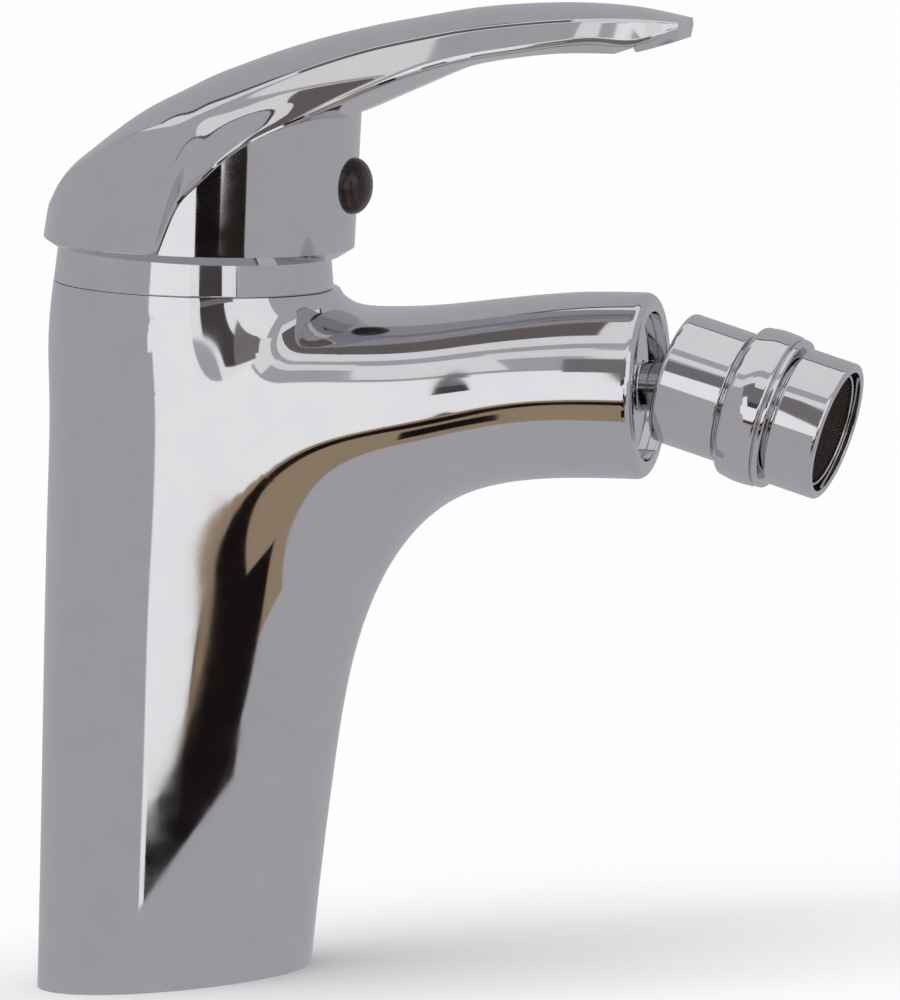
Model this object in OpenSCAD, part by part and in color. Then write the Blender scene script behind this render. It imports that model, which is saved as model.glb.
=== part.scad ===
// Single-lever bidet mixer: leaning cast body with a round spout, ceramic-disc
// cartridge under an arched lever, and a ball-jointed aerator at the spout end.
// Millimetres. Z is up, the deck is z = 0, the spout points along +X.

/* [Body] */
// forward lean of the column, degrees
lean = 7; // [4:0.5:8]
// height of the column's top face along the column axis
body_top = 119.6; // [114:0.4:134]
// column diameter at the top
column_d = 47; // [46.4:0.2:49]
// column diameter at the base
base_d = 46.4; // [45.6:0.2:47]
// reach of the spout's end face from the column axis
spout_reach = 80.8; // [77:0.2:88]
// drop of the spout's axis below the column's top face
spout_drop = 13.2; // [12.6:0.2:14.2]
// outside diameter of the spout
spout_d = 31.5; // [30.9:0.1:32.3]
// radius on the spout's end rim
rim_r = 1.6; // [1:0.1:2]
// bore of the waterway in the spout
spout_bore_d = 16; // [12:0.5:17]
// thread bore in the spout's end
mouth_d = 25.2; // [24.8:0.1:25.4]
// depth of that thread bore
mouth_depth = 14; // [13:0.5:18]

/* [Base] */
// bore of the hollow in the base
cavity_d = 36; // [34:0.5:37]
// depth of the hollow, along the column axis
cavity_h = 32; // [28:0.5:38]
// wall diameter of each hose thread
inlet_d = 9.1; // [8.6:0.1:9.6]
// depth of each hose thread
inlet_depth = 14; // [11:0.5:18]
// distance between the hose threads
inlet_pitch = 14; // [13:0.5:16]
// wall diameter of the fixing stud's thread
stud_d = 6.8; // [6.4:0.1:7.2]
// depth of the fixing stud's thread
stud_depth = 18; // [14:0.5:22]
// distance of the stud behind the column axis
stud_back = 10.5; // [9.5:0.25:11.5]
// thickness of the gasket under the base
gasket_t = 1.9; // [1.5:0.1:2.4]

/* [Cartridge] */
// cartridge diameter
cartridge_d = 35.2; // [34.6:0.1:35.6]
// depth of the cartridge seat below the column's top face
seat_depth = 30.6; // [29.6:0.2:31.6]
// diameter of the fixed ceramic disc
fixed_disc_d = 27; // [26:0.5:29]
// diameter of the moving ceramic disc
moving_disc_d = 22; // [20:0.5:23]
// thickness of each ceramic disc
disc_t = 3; // [2.6:0.1:3.2]
// diameter of the turning cap in the cartridge
rotor_d = 24.8; // [24:0.1:25.6]
// diameter of the lever's pivot pin
pin_d = 3; // [2.6:0.1:3.4]
// side of the square spindle
spindle_w = 8; // [7:0.25:8.5]
// thread diameter of the retaining nut
nut_d = 39.8; // [39:0.1:40.2]
// height of the cover ring
ring_h = 6.4; // [5.8:0.1:6.6]

/* [Lever] */
// reach of the lever's tip from the column axis
lever_reach = 84.6; // [80:0.2:92]
// height of the lever above its rim
lever_rise = 45.8; // [45:0.2:50]
// width of the blade over its lower edges, at mid length
blade_w = 28; // [26:0.5:31]
// diameter of the hub
hub_d = 54; // [53.6:0.1:56]
// how far the hub's centre lies ahead of the column axis
hub_x = 0.9; // [0.6:0.1:1]
// diameter of the index plug
plug_d = 9.7; // [8.5:0.1:10.5]
// height of the index plug's centre above the rim
plug_z = 12.6; // [11.6:0.2:13.4]
// thread diameter of the grub screw
grub_d = 5; // [4:0.25:5.5]

/* [Nozzle] */
// distance of the ball's centre ahead of the spout's end
ball_out = 11.2; // [11:0.1:12.5]
// ball diameter
ball_d = 14; // [13.4:0.2:14.2]
// diameter of the neck behind the ball
neck_d = 8.4; // [7.6:0.1:8.6]
// waterway through the ball stem
stem_bore_d = 4.6; // [3.6:0.2:5]
// outside diameter of the swivel housing
swivel_d = 22.7; // [22.5:0.1:23.6]
// length of the swivel housing's outside
swivel_l = 12; // [11.8:0.1:13]
// outside diameter of the lock collar
collar_d = 27; // [26:0.2:28]
// length of the lock collar
collar_l = 9.2; // [8.8:0.1:10.4]
// outside diameter of the aerator housing
aerator_d = 24; // [23.4:0.2:25]
// length of the aerator housing
aerator_l = 8.5; // [8.3:0.1:10]
// droop of the nozzle at rest, degrees
nozzle_droop = 14.6; // [12:0.2:16.6]
// sideways turn of the nozzle at rest, degrees
nozzle_turn = 4; // [0:0.5:6]

/* [Hidden] */
$fn = 64;
fine = 96;
eps = 0.01;
// running clearance of turned fits, and the gap between curved moving faces
run_c = 0.06;
gap = 0.3;
seat_c = 0.02;
// length of cutting blocks and drills that run out past the part
far = 200;
// how far a drill starts ahead of the face it enters
lead = 1;

spout_z = body_top - spout_drop;
seat_z = body_top - seat_depth;
column_r = column_d / 2;
base_r = base_d / 2;
spout_r = spout_d / 2;

// cartridge stack, heights along the column axis
cart_r = cartridge_d / 2;
chamber_c = 0.5;
chamber_r = cart_r + chamber_c;
base_plate_z = seat_z + seat_c;
base_plate_h = 6;
fixed_z = base_plate_z + base_plate_h + seat_c;
moving_z = fixed_z + disc_t + seat_c;
carrier_z = moving_z + disc_t + seat_c;
carrier_h = 3.6;
flange_z = carrier_z + carrier_h + gap;
flange_h = 2;
room_top = flange_z + flange_h + gap;
nut_seat_depth = 6.4;
shoulder_z = body_top - nut_seat_depth;
housing_out = 1.4;
housing_top = body_top + housing_out;
rotor_out = 1.9;
rotor_top = body_top + rotor_out;
rotor_r = rotor_d / 2;
pivot_depth = 0.4;
pivot_z = body_top - pivot_depth;
ball_end_r = 2.8;
ball_end_lift = 3.2;
ball_end_z = carrier_z + ball_end_lift;
swing_r = pivot_z - ball_end_z;
disc_back = 3.3;
nut_r = nut_d / 2;
nut_out = 5;
nut_top = body_top + nut_out;
neck_wall = 2.2;
neck_r = rotor_r + neck_wall;
nut_c = 0.4;
nut_bore_r = neck_r + nut_c;
ring_top = body_top + ring_h;

// lever: its rim hangs just outside the ring, hollow inside a sphere about the pivot
rim_hang = 0.8;
rim_z = ring_top - rim_hang;
hub_r = hub_d / 2;
swing_c = 0.55;
hollow_r = norm([column_r, ring_top - pivot_z]) + swing_c;
boss_wall = 4.6;
boss_r = spindle_w / 2 + boss_wall;
boss_up = 9.3;
boss_z = pivot_z + boss_up;
spindle_up = 22;
spindle_top = pivot_z + spindle_up;

// nozzle: places along its own axis from the ball's centre
neck_out_r = neck_d / 2;
ball_r = ball_d / 2;
liner_in = ball_r + gap;
liner_t = 0.9;
liner_out = liner_in + liner_t;
socket_r = liner_out + gap;
ball_x = spout_reach + ball_out;
swivel_back = -7.7;
swivel_front = swivel_back + swivel_l;
collar_gap = 0.1;
collar_back = swivel_front + collar_gap;
collar_front = collar_back + collar_l;
aerator_gap = 0.2;
aerator_back = collar_front + aerator_gap;
aerator_front = aerator_back + aerator_l;
tube_r = 9.6;
tube_short = 1.2;
tube_front = collar_front - tube_short;
stem_plug_r = mouth_d / 2 - seat_c;
mouth_floor = spout_reach - mouth_depth;
aerator_wall = 1.5;
aerator_in_r = aerator_d / 2 - aerator_wall;
aerator_floor = 1;
insert_room = aerator_back + aerator_floor;
passage_r = 7.4;

// places a child drawn about the column axis
module on_column() {
    rotate([0, lean, 0]) children();
}

// places a child drawn along +X from the ball's centre
module on_ball_axis() {
    on_column() translate([ball_x, 0, spout_z]) children();
}

module on_nozzle() {
    on_ball_axis() rotate([0, 0, -nozzle_turn]) rotate([0, nozzle_droop, 0]) children();
}

// cylinder along +X from a to b
module rod_x(a, b, r) {
    translate([a, 0, 0]) rotate([0, 90, 0]) cylinder(h = b - a, r = r, $fn = fine);
}

// ring turned about Z from a list of [radius, height] corners
module turned(corners) {
    rotate_extrude($fn = fine) polygon(corners);
}

// the same about X, heights running along +X
module turned_x(corners) {
    rotate([0, 90, 0]) rotate_extrude($fn = fine) polygon(corners);
}

module tube(z0, z1, r_in, r_out) {
    turned([[r_in, z0], [r_out, z0], [r_out, z1], [r_in, z1]]);
}

module tube_x(a, b, r_in, r_out) {
    turned_x([[r_in, a], [r_out, a], [r_out, b], [r_in, b]]);
}

// smooth curve through the rows of a table
function curve(p0, p1, p2, p3, t) =
    0.5 * (2 * p1 + (p2 - p0) * t + (2 * p0 - 5 * p1 + 4 * p2 - p3) * t * t
    + (3 * p1 - p0 - 3 * p2 + p3) * t * t * t);
function row_at(rows, i) = rows[max(0, min(len(rows) - 1, i))];
// steps is the number of cuts from each row to the next
function smooth_rows(rows, steps) = [
    for (i = [0 : len(rows) - 2], s = [0 : steps - 1])
        curve(row_at(rows, i - 1), rows[i], rows[i + 1], row_at(rows, i + 2), s / steps),
    rows[len(rows) - 1]
];

// Body skin. Stations are drawn along the front and underside edge, from below the foot over
// shin, knee, bend, throat, neck and spout to the mouth: edge x, edge height, depth of the spout
// form behind the edge, its half width, the softness of its blend into the column, how full its
// upper flank is, how far that flank rises past the depth, and the cuts drawn up to the next
// station. Nominal drawing values; reach, height and diameters scale them.
stations = [
    [22.2, -9, 36.2, 19.6, 120, 2, 0, 9],
    [26.8, 38, 41, 20.6, 245, 1.9, 0, 9],
    [32.5, 66, 44.5, 21.2, 330, 1.9, 2.5, 13],
    [40.8, 80, 47, 22.3, 330, 2.8, 4, 10],
    [47.5, 85.4, 35.7, 21, 295, 2.8, 1, 10],
    [57, 88.8, 31, 18.1, 240, 2.4, 0, 6],
    [68, 90.2, 31.3, 16.6, 180, 2.15, 0, 5],
    [79.2, 90.65, 31.5, 15.75, 120, 2, 0, 0]
];
last_station = len(stations) - 1;
function gap(i) = norm([stations[i + 1][0] - stations[i][0], stations[i + 1][1] - stations[i][1]]);
function rate(i) = (stations[i + 1] - stations[i]) / gap(i);
function slope(i) = i == 0 ? (3 * rate(0) - slope(1)) / 2 :
    i == last_station ? (3 * rate(i - 1) - slope(i - 1)) / 2 :
    (rate(i - 1) * gap(i) + rate(i) * gap(i - 1)) / (gap(i - 1) + gap(i));
// place and slope of the curve through the stations, a share t of the way from station i
function between(i, t) = (1 + 2 * t) * pow(1 - t, 2) * stations[i] + t * pow(1 - t, 2) * gap(i) * slope(i)
    + t * t * (3 - 2 * t) * stations[i + 1] + t * t * (t - 1) * gap(i) * slope(i + 1);
function slope_at(i, t) = 6 * t * (1 - t) * rate(i) + (1 - t) * (1 - 3 * t) * slope(i)
    + t * (3 * t - 2) * slope(i + 1);
// the cuts stand square to the edge, level at the foot and upright at the mouth
function square_to(m) = 90 + atan2(m[1], m[0]);
foot_square = square_to(slope(0));
mouth_square = square_to(slope(last_station));
function cut_turn(m) = 90 + 90 * (square_to(m) - mouth_square) / (foot_square - mouth_square);
function drawn_cut(i, t) = let (p = between(i, t)) [p[0], p[1], cut_turn(slope_at(i, t)), p[2], p[3], p[4],
    p[5], p[6]];
drawn_cuts = concat([for (i = [0 : last_station - 1], s = [0 : stations[i][7] - 1])
    drawn_cut(i, s / stations[i][7])], [drawn_cut(last_station - 1, 1)]);
drawn_column_r = 23.5;
drawn_end_x = 79.2;
drawn_under = 90.65;
drawn_spout_d = 31.5;
skin_kx = (spout_reach - rim_r - column_r) / (drawn_end_x - drawn_column_r);
skin_kz = (spout_z - spout_r) / drawn_under;
skin_kw = spout_d / drawn_spout_d;
skin_half = 20;
skin_over = 1;
skin = [for (r = drawn_cuts) [
    column_r + (r[0] - drawn_column_r) * skin_kx, r[1] * skin_kz, r[2],
    r[3] * skin_kw, r[4] * skin_kw, r[5], r[6], max(r[7], 0)]];
// the upper flank widens towards the column
flank_taper = 0.25;

function soft_max(p, q, k) = max(p, q) + k / 6 * pow(max(k - abs(p - q), 0) / k, 3);
// the column swells a little between base and top and again below its shoulder, and its
// foot sits slightly further back
swell = 0.5;
shoulder_swell = 0.9;
shoulder_drop = 8.6;
shoulder_spread = 11;
foot_back = 0.3;
function up_share(z) = min(max(z / body_top, 0), 1);
swell_power = 1.6;
function radius_at(z) = base_r + (column_r - base_r) * up_share(z)
    + swell * sin(180 * pow(up_share(z), swell_power))
    + shoulder_swell * exp(-pow((z - body_top + shoulder_drop) / shoulder_spread, 2));
function centre_at(z) = -foot_back * (1 - up_share(z));
function cut_x(r, n) = r[0] + n * cos(r[2]);
function cut_z(r, n) = r[1] + n * sin(r[2]);
// square of the spout form's half width, u from -1 at the cut's start to 1 at its depth
function upper_u(r, u) = max(u, 0) * r[3] / (r[3] + 2 * r[7]);
function flank(r, u) = r[4] + flank_taper * abs(cos(r[2])) * r[3] / 2 * pow(upper_u(r, u), 2);
function spout_width2(r, u) = pow(flank(r, u), 2) * (1 - (u > 0 ? pow(upper_u(r, u), r[6]) : u * u));
// the blend is softer towards the crown
crown_soft = 0.9;
crown_reach = 1.3;
function softness(r, u) = r[5] * (1 + crown_soft * pow(min(max(u, 0), crown_reach), 4));
// square of the body's half width at depth n along one cut
function width2(r, n) = soft_max(
    pow(radius_at(cut_z(r, n)), 2) - pow(cut_x(r, n) - centre_at(cut_z(r, n)), 2),
    spout_width2(r, (n - r[3] / 2) / (r[3] / 2)), softness(r, (n - r[3] / 2) / (r[3] / 2)));
function halve(r, a, b, i) = i == 0 ? (a + b) / 2 :
    width2(r, (a + b) / 2) > 0 ? halve(r, (a + b) / 2, b, i - 1) : halve(r, a, (a + b) / 2, i - 1);
// roots of the half width: by halving, after a march in small strides to the far side
halvings = 16;
stride = 0.5;
cut_max = 90;
cut_start = -5;
level = 0.01;
function march(r, n, end) = n >= end ? end :
    width2(r, n) < 0 ? halve(r, n - stride, n, halvings) : march(r, n + stride, end);
function far_end(r) = sin(r[2]) < level ? cut_max :
    min(cut_max, (body_top + skin_over - r[1]) / sin(r[2]));
function near_n(r) = halve(r, r[3] / 2, cut_start, halvings);
function far_n(r) = march(r, r[3] / 2, far_end(r));
function cut_point(r, n, side) = [cut_x(r, n), side * sqrt(max(width2(r, n), 0)), cut_z(r, n)];
function cut_n(a, b, k) = (a + b) / 2 - (b - a) / 2 * cos(180 * k / skin_half);
function cut_loop(r) = let (a = near_n(r), b = far_n(r)) concat(
    [[cut_x(r, a), 0, cut_z(r, a)]],
    [for (k = [1 : skin_half - 1]) cut_point(r, cut_n(a, b, k), 1)],
    [[cut_x(r, b), 0, cut_z(r, b)]],
    [for (k = [skin_half - 1 : -1 : 1]) cut_point(r, cut_n(a, b, k), -1)]);
// the spout's end is rounded over by loops that shrink towards its axis
rim_steps = 4;
function rim_loop(turn) = let (shrink = 1 - rim_r * (1 - cos(turn)) / spout_r,
    last = cut_loop(skin[len(skin) - 1]))
    [for (p = last) [p[0] + rim_r * sin(turn), p[1] * shrink, spout_z + (p[2] - spout_z) * shrink]];
skin_loops = concat([for (r = skin) cut_loop(r)],
    [for (s = [1 : rim_steps]) rim_loop(90 * s / rim_steps)]);

// closed solid through a stack of loops of equal length
module loft(loops) {
    n = len(loops[0]);
    m = len(loops);
    points = [for (l = loops) for (p = l) p];
    sides = [for (j = [0 : m - 2], i = [0 : n - 1])
        [j * n + i, j * n + (i + 1) % n, (j + 1) * n + (i + 1) % n, (j + 1) * n + i]];
    first = [[for (i = [n - 1 : -1 : 0]) i]];
    last = [[for (i = [0 : n - 1]) (m - 1) * n + i]];
    polyhedron(points, concat(sides, first, last), convexity = 6);
}

// cast brass body: column, spout, waterways and the hollow base
gasket_in = base_r - 3.1;
gasket_out = base_r - 1.2;
top_cut_x = 15;
inlet_x = 2;
port_d = 6;
riser_r = 5;
riser_x = chamber_r - 2;
outlet_x = chamber_r - 4;
module body_casting() {
    color("silver") difference() {
        on_column() loft(skin_loops);
        translate([-far, -far, -far]) cube([2 * far, 2 * far, far]);
        on_column() union() {
            translate([-far, -far, body_top]) cube([far + column_r + top_cut_x, 2 * far, far]);
            translate([0, 0, seat_z]) cylinder(h = far, r = chamber_r, $fn = fine);
            translate([0, 0, shoulder_z]) cylinder(h = far, r = nut_r + run_c, $fn = fine);
            translate([0, 0, -far]) cylinder(h = far + cavity_h, d = cavity_d, $fn = fine);
            for (s = [-1, 1]) translate([inlet_x, s * inlet_pitch / 2, cavity_h]) {
                translate([0, 0, -lead]) cylinder(h = inlet_depth + lead, d = inlet_d, $fn = fine);
                cylinder(h = seat_z - cavity_h + lead, d = port_d);
            }
            translate([riser_x, 0, seat_z + lead]) cylinder(h = spout_z - seat_z - lead, r = riser_r);
            translate([0, 0, spout_z]) {
                rod_x(outlet_x, mouth_floor + lead, spout_bore_d / 2);
                rod_x(mouth_floor, far, mouth_d / 2);
            }
        }
        translate([cavity_h * sin(lean) - stud_back, 0, cavity_h - stud_lead])
            cylinder(h = stud_depth + stud_lead, d = stud_d, $fn = fine);
        tube(-lead, gasket_t, gasket_in, gasket_out);
    }
}
stud_lead = 4;

// rubber ring let into the underside of the base
module base_gasket() {
    color("dimgray") tube(0, gasket_t - seat_c, gasket_in + seat_c, gasket_out - seat_c);
}

// moulded floor of the cartridge: two inlets and an outlet to its side
outlet_w = 5.2;
outlet_back = 8.5;
outlet_floor = 1.5;
seal_t = 1.8;
seal_d = 9.4;
module cartridge_base() {
    color("white") on_column() difference() {
        translate([0, 0, base_plate_z]) cylinder(h = base_plate_h, r = cart_r, $fn = fine);
        for (s = [-1, 1]) translate([inlet_x, s * inlet_pitch / 2, base_plate_z]) {
            translate([0, 0, -lead]) cylinder(h = base_plate_h + 2 * lead, d = port_d);
            translate([0, 0, -lead]) cylinder(h = lead + seal_t, d = seal_d + 2 * seat_c);
        }
        translate([outlet_back, -outlet_w / 2, base_plate_z + outlet_floor])
            cube([cart_r, outlet_w, base_plate_h]);
    }
}

// rubber rings between the inlets and the body
module inlet_seals() {
    color("black") on_column() for (s = [-1, 1])
        translate([inlet_x, s * inlet_pitch / 2, base_plate_z])
            tube(0, seal_t - seat_c, port_d / 2, seal_d / 2);
}

// fixed ceramic disc
disc_port_d = 5;
disc_outlet_x = 9.6;
disc_outlet_d = 4.4;
module fixed_disc() {
    color("white") on_column() difference() {
        translate([0, 0, fixed_z]) cylinder(h = disc_t, d = fixed_disc_d, $fn = fine);
        for (s = [-1, 1]) translate([inlet_x, s * inlet_pitch / 2, fixed_z - lead])
            cylinder(h = disc_t + 2 * lead, d = disc_port_d);
        translate([disc_outlet_x, 0, fixed_z - lead]) cylinder(h = disc_t + 2 * lead, d = disc_outlet_d);
    }
}

// moving ceramic disc with its mixing hollow underneath
mix_d = 9;
mix_x = 1;
mix_t = 1.6;
module moving_disc() {
    color("ivory") on_column() difference() {
        translate([-disc_back, 0, moving_z]) cylinder(h = disc_t, d = moving_disc_d, $fn = fine);
        translate([mix_x - disc_back, 0, moving_z - lead]) cylinder(h = mix_t + lead, d = mix_d);
    }
}

// carrier above the moving disc, with the pocket for the spindle's ball end
carrier_d = moving_disc_d - 0.6;
pocket_r = ball_end_r + gap + 0.05;
module disc_carrier() {
    color("white") on_column() difference() {
        translate([-disc_back, 0, carrier_z])
            cylinder(h = carrier_h, d = carrier_d, $fn = fine);
        translate([0, 0, carrier_z - lead]) cylinder(h = carrier_h + 2 * lead, r = pocket_r);
    }
}

// moulded cartridge case, open below
module cartridge_housing() {
    color("white") on_column() difference() {
        union() {
            translate([0, 0, fixed_z]) cylinder(h = shoulder_z - fixed_z, r = cart_r, $fn = fine);
            translate([0, 0, shoulder_z - lead])
                cylinder(h = housing_top - shoulder_z + lead, r = neck_r, $fn = fine);
        }
        translate([0, 0, fixed_z - lead])
            cylinder(h = disc_t + lead + seat_c, d = fixed_disc_d + 2 * seat_c, $fn = fine);
        translate([0, 0, fixed_z + disc_t])
            cylinder(h = room_top - fixed_z - disc_t, r = room_r, $fn = fine);
        translate([0, 0, seat_z]) cylinder(h = far, r = rotor_r + run_c, $fn = fine);
        tube(groove_z, groove_z + groove_h, cart_r - groove_t, cart_r + lead);
    }
}
disc_throw = 4.2;
room_r = moving_disc_d / 2 + disc_throw;
groove_h = 1.6;
groove_t = 1.1;
groove_down = 3;
groove_z = shoulder_z - groove_down;

// rubber ring round the cartridge
module cartridge_o_ring() {
    color("black") on_column() rotate_extrude($fn = fine)
        translate([(cart_r - groove_t + chamber_r) / 2, groove_z + groove_h / 2])
            circle(r = (chamber_r - cart_r + groove_t) / 2 - seat_c, $fn = o_ring_fn);
}

// brass nut that holds the cartridge down, notched for its key
nut_notch = 4;
nut_notch_t = 1.6;
nut_notch_h = 2.4;
nut_groove_h = 1.4;
nut_groove_t = 1;
nut_groove_up = 1.6;
nut_ring_z = body_top + nut_groove_up;
module retaining_nut() {
    color("goldenrod") on_column() difference() {
        tube(shoulder_z + seat_c, nut_top, nut_bore_r, nut_r);
        for (a = [0 : 60 : 300]) rotate([0, 0, a])
            translate([nut_bore_r - lead, -nut_notch / 2, nut_top - nut_notch_h])
                cube([nut_notch_t + lead, nut_notch, nut_notch_h + lead]);
        tube(nut_ring_z, nut_ring_z + nut_groove_h, nut_r - nut_groove_t, nut_r + lead);
    }
}

// rubber ring that grips the cover ring
o_ring_fn = 24;
nut_o_ring_r = 0.55;
nut_o_ring_in = nut_groove_t - nut_o_ring_r - 2 * seat_c;
module nut_o_ring() {
    color("black") on_column() rotate_extrude($fn = fine)
        translate([nut_r - nut_o_ring_in, nut_ring_z + nut_groove_h / 2])
            circle(r = nut_o_ring_r, $fn = o_ring_fn);
}

// chromed ring over the nut
ring_c = 0.25;
ring_low_edge = 0.25;
ring_top_edge = 0.4;
ring_flare = 0.45;
ring_draw_in = 0.2;
ring_low_r = column_r + ring_flare;
ring_high_r = column_r - ring_draw_in;
module cover_ring() {
    color("silver") on_column() turned([
        [nut_r + ring_c, body_top + seat_c], [ring_low_r - ring_low_edge, body_top + seat_c],
        [ring_low_r, body_top + seat_c + ring_low_edge], [ring_high_r, ring_top - ring_top_edge],
        [ring_high_r - ring_top_edge, ring_top], [nut_r + ring_c, ring_top]]);
}

// turning cap of the cartridge, slotted for the spindle
slot_c = 0.2;
slot_back = 6;
slot_front = 10.6;
module rotor() {
    color("gainsboro") on_column() difference() {
        union() {
            translate([0, 0, flange_z]) cylinder(h = rotor_top - flange_z, r = rotor_r, $fn = fine);
            translate([0, 0, flange_z]) cylinder(h = flange_h, r = room_r - gap, $fn = fine);
        }
        translate([-slot_back, -spindle_w / 2 - slot_c, flange_z - lead])
            cube([slot_back + slot_front, spindle_w + 2 * slot_c, rotor_top - flange_z + 2 * lead]);
        translate([0, far / 2, pivot_z]) rotate([90, 0, 0])
            cylinder(h = far, d = pin_d + 2 * seat_c, $fn = fine);
    }
}

// steel pin the spindle rocks on
pin_l = 21;
module pivot_pin() {
    color("gray") on_column() translate([0, pin_l / 2, pivot_z]) rotate([90, 0, 0])
        cylinder(h = pin_l, d = pin_d, $fn = fine);
}

// spindle: square above the pin, round below, with a ball end in the carrier
lower_r = 2.4;
square_down = 4;
module spindle() {
    color("gray") on_column() difference() {
        union() {
            translate([-spindle_w / 2, -spindle_w / 2, pivot_z - square_down])
                cube([spindle_w, spindle_w, spindle_top - pivot_z + square_down]);
            translate([0, 0, ball_end_z])
                cylinder(h = swing_r - square_down + lead, r = lower_r, $fn = fine);
            translate([0, 0, ball_end_z]) sphere(r = ball_end_r);
        }
        translate([0, far / 2, pivot_z]) rotate([90, 0, 0])
            cylinder(h = far, d = pin_d + 2 * run_c, $fn = fine);
    }
}

// Lever blade. Each row is one cross cut: x, top of the crown, half width and height of the
// top edge, half width and height of the lower edge, half width and height of the keel.
// Heights count from the rim. Nominal drawing values, scaled by reach, rise and width.
blade_rows = [
    [-26.1, 4.4, 1.4, 4.2, 2.6, 2.2, 1.2, 2.0],
    [-25.0, 7.9, 3.6, 7.3, 7.6, 0.6, 4, 0.4],
    [-22.6, 12.2, 6.2, 11.0, 13.3, 0, 7, 0],
    [-19.0, 16.0, 8.4, 14.2, 18.0, 0, 8, 0],
    [-13.8, 20.3, 10.4, 17.7, 22.4, 0, 8, 0],
    [-8.6, 24.1, 11.8, 20.4, 25.1, 0, 8, 0],
    [-3.4, 27.0, 12.8, 22.2, 26.7, 0, 8, 0],
    [0.3, 29.0, 13.2, 23.2, 27.4, 1.0, 8, 1.0],
    [3.4, 30.6, 13.3, 24.6, 27.3, 8.8, 8, 8.8],
    [6.9, 32.1, 13.3, 26.3, 26.7, 13.4, 8, 13.2],
    [10.5, 33.6, 13.3, 28.0, 25.4, 17.2, 8, 16.7],
    [19.7, 37.0, 13.0, 32.2, 19.8, 23.5, 8, 22.2],
    [27.6, 39.4, 12.6, 35.3, 16.2, 27.5, 7.4, 24.9],
    [33.0, 40.8, 12.3, 37.1, 14.9, 30.2, 6.8, 27.4],
    [39.7, 42.3, 11.9, 38.9, 13.9, 33.0, 6.4, 30.6],
    [47.8, 44.0, 11.3, 40.8, 12.9, 35.6, 6.2, 34.2],
    [56.8, 45.2, 10.6, 42.3, 12.0, 37.5, 6.2, 36.4],
    [65.4, 45.8, 9.9, 43.4, 11.1, 39.2, 6.2, 37.6],
    [72.0, 45.8, 9.3, 43.9, 10.4, 39.9, 6.2, 37.9],
    [77.5, 45.4, 8.4, 44.1, 9.5, 39.8, 6.4, 38.4],
    [81.6, 44.7, 7.2, 44.0, 8.2, 41.4, 6.0, 39.6],
    [84.6, 44.1, 5.6, 43.8, 6.4, 42.8, 4.6, 40.6]
];
drawn_reach = 84.6;
drawn_rise = 45.8;
drawn_blade_w = 28;
drawn_hub_r = 27;
blade_kx = lever_reach / drawn_reach;
blade_kz = lever_rise / drawn_rise;
blade_kw = blade_w / drawn_blade_w;
hub_k = hub_r / drawn_hub_r;
bulge = 0.75;
// behind the hub the blade follows the hub's size, ahead of it the reach and width
function blade_x(x) = x < 0 ? hub_x + (x - hub_x) * hub_k : x * blade_kx;
hub_end = 12;
blade_start = 34;
function blade_y(x, y) = y * (x < hub_end ? hub_k : x > blade_start ? blade_kw :
    hub_k + (blade_kw - hub_k) * (x - hub_end) / (blade_start - hub_end));
// shares of the crown's half width and of its fall, from the middle to the top edge
crown_shares = [[0, 0], [0.5, 0.24], [0.82, 0.68], [1, 1]];
edge_t = 0.6;
edge_in = 0.3;
function blade_half(r) = concat(
    [for (s = crown_shares) [r[2] * s[0], r[1] - (r[1] - r[3]) * s[1]]],
    [for (s = [1 / 3, 2 / 3])
        [r[2] + (r[4] - r[2]) * s + bulge, r[3] + (r[5] - r[3]) * s + bulge]],
    [[r[4], r[5] + edge_t], [r[4] - edge_in, r[5]], [r[6], r[7]]]);
function blade_loop(r) = let (h = blade_half(r), n = len(h)) concat(
    [for (p = h) [blade_x(r[0]), blade_y(r[0], p[0]), rim_z + p[1] * blade_kz]],
    [for (i = [n - 1 : -1 : 1]) [blade_x(r[0]), -blade_y(r[0], h[i][0]), rim_z + h[i][1] * blade_kz]]);
blade_steps = 2;
// side view of the hub below the blade's lower edge, as [x, height above the rim]
hub_side = [for (p = [[-30, 0], [30, 0], [30, 27.0], [27.6, 27.0], [19.7, 22.6], [10.5, 16.2],
    [6.9, 12.6], [3.4, 8.0], [0.3, 0.8], [-30, 0.8]]) [p[0] * hub_k, p[1] * blade_kz]];
rim_bevel = 1.8;
bevel_over = 3;
// notch under the tip: its start, its length and its roof above the rim
notch_x = 74;
notch_w = 3.6;
notch_roof = 39.4;
plug_h = rim_z + plug_z;
plug_x = hub_x + hub_r;
plug_depth = 4;
boss_over = 0.6;
blade_loops = [for (r = smooth_rows(blade_rows, blade_steps)) blade_loop(r)];

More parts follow.
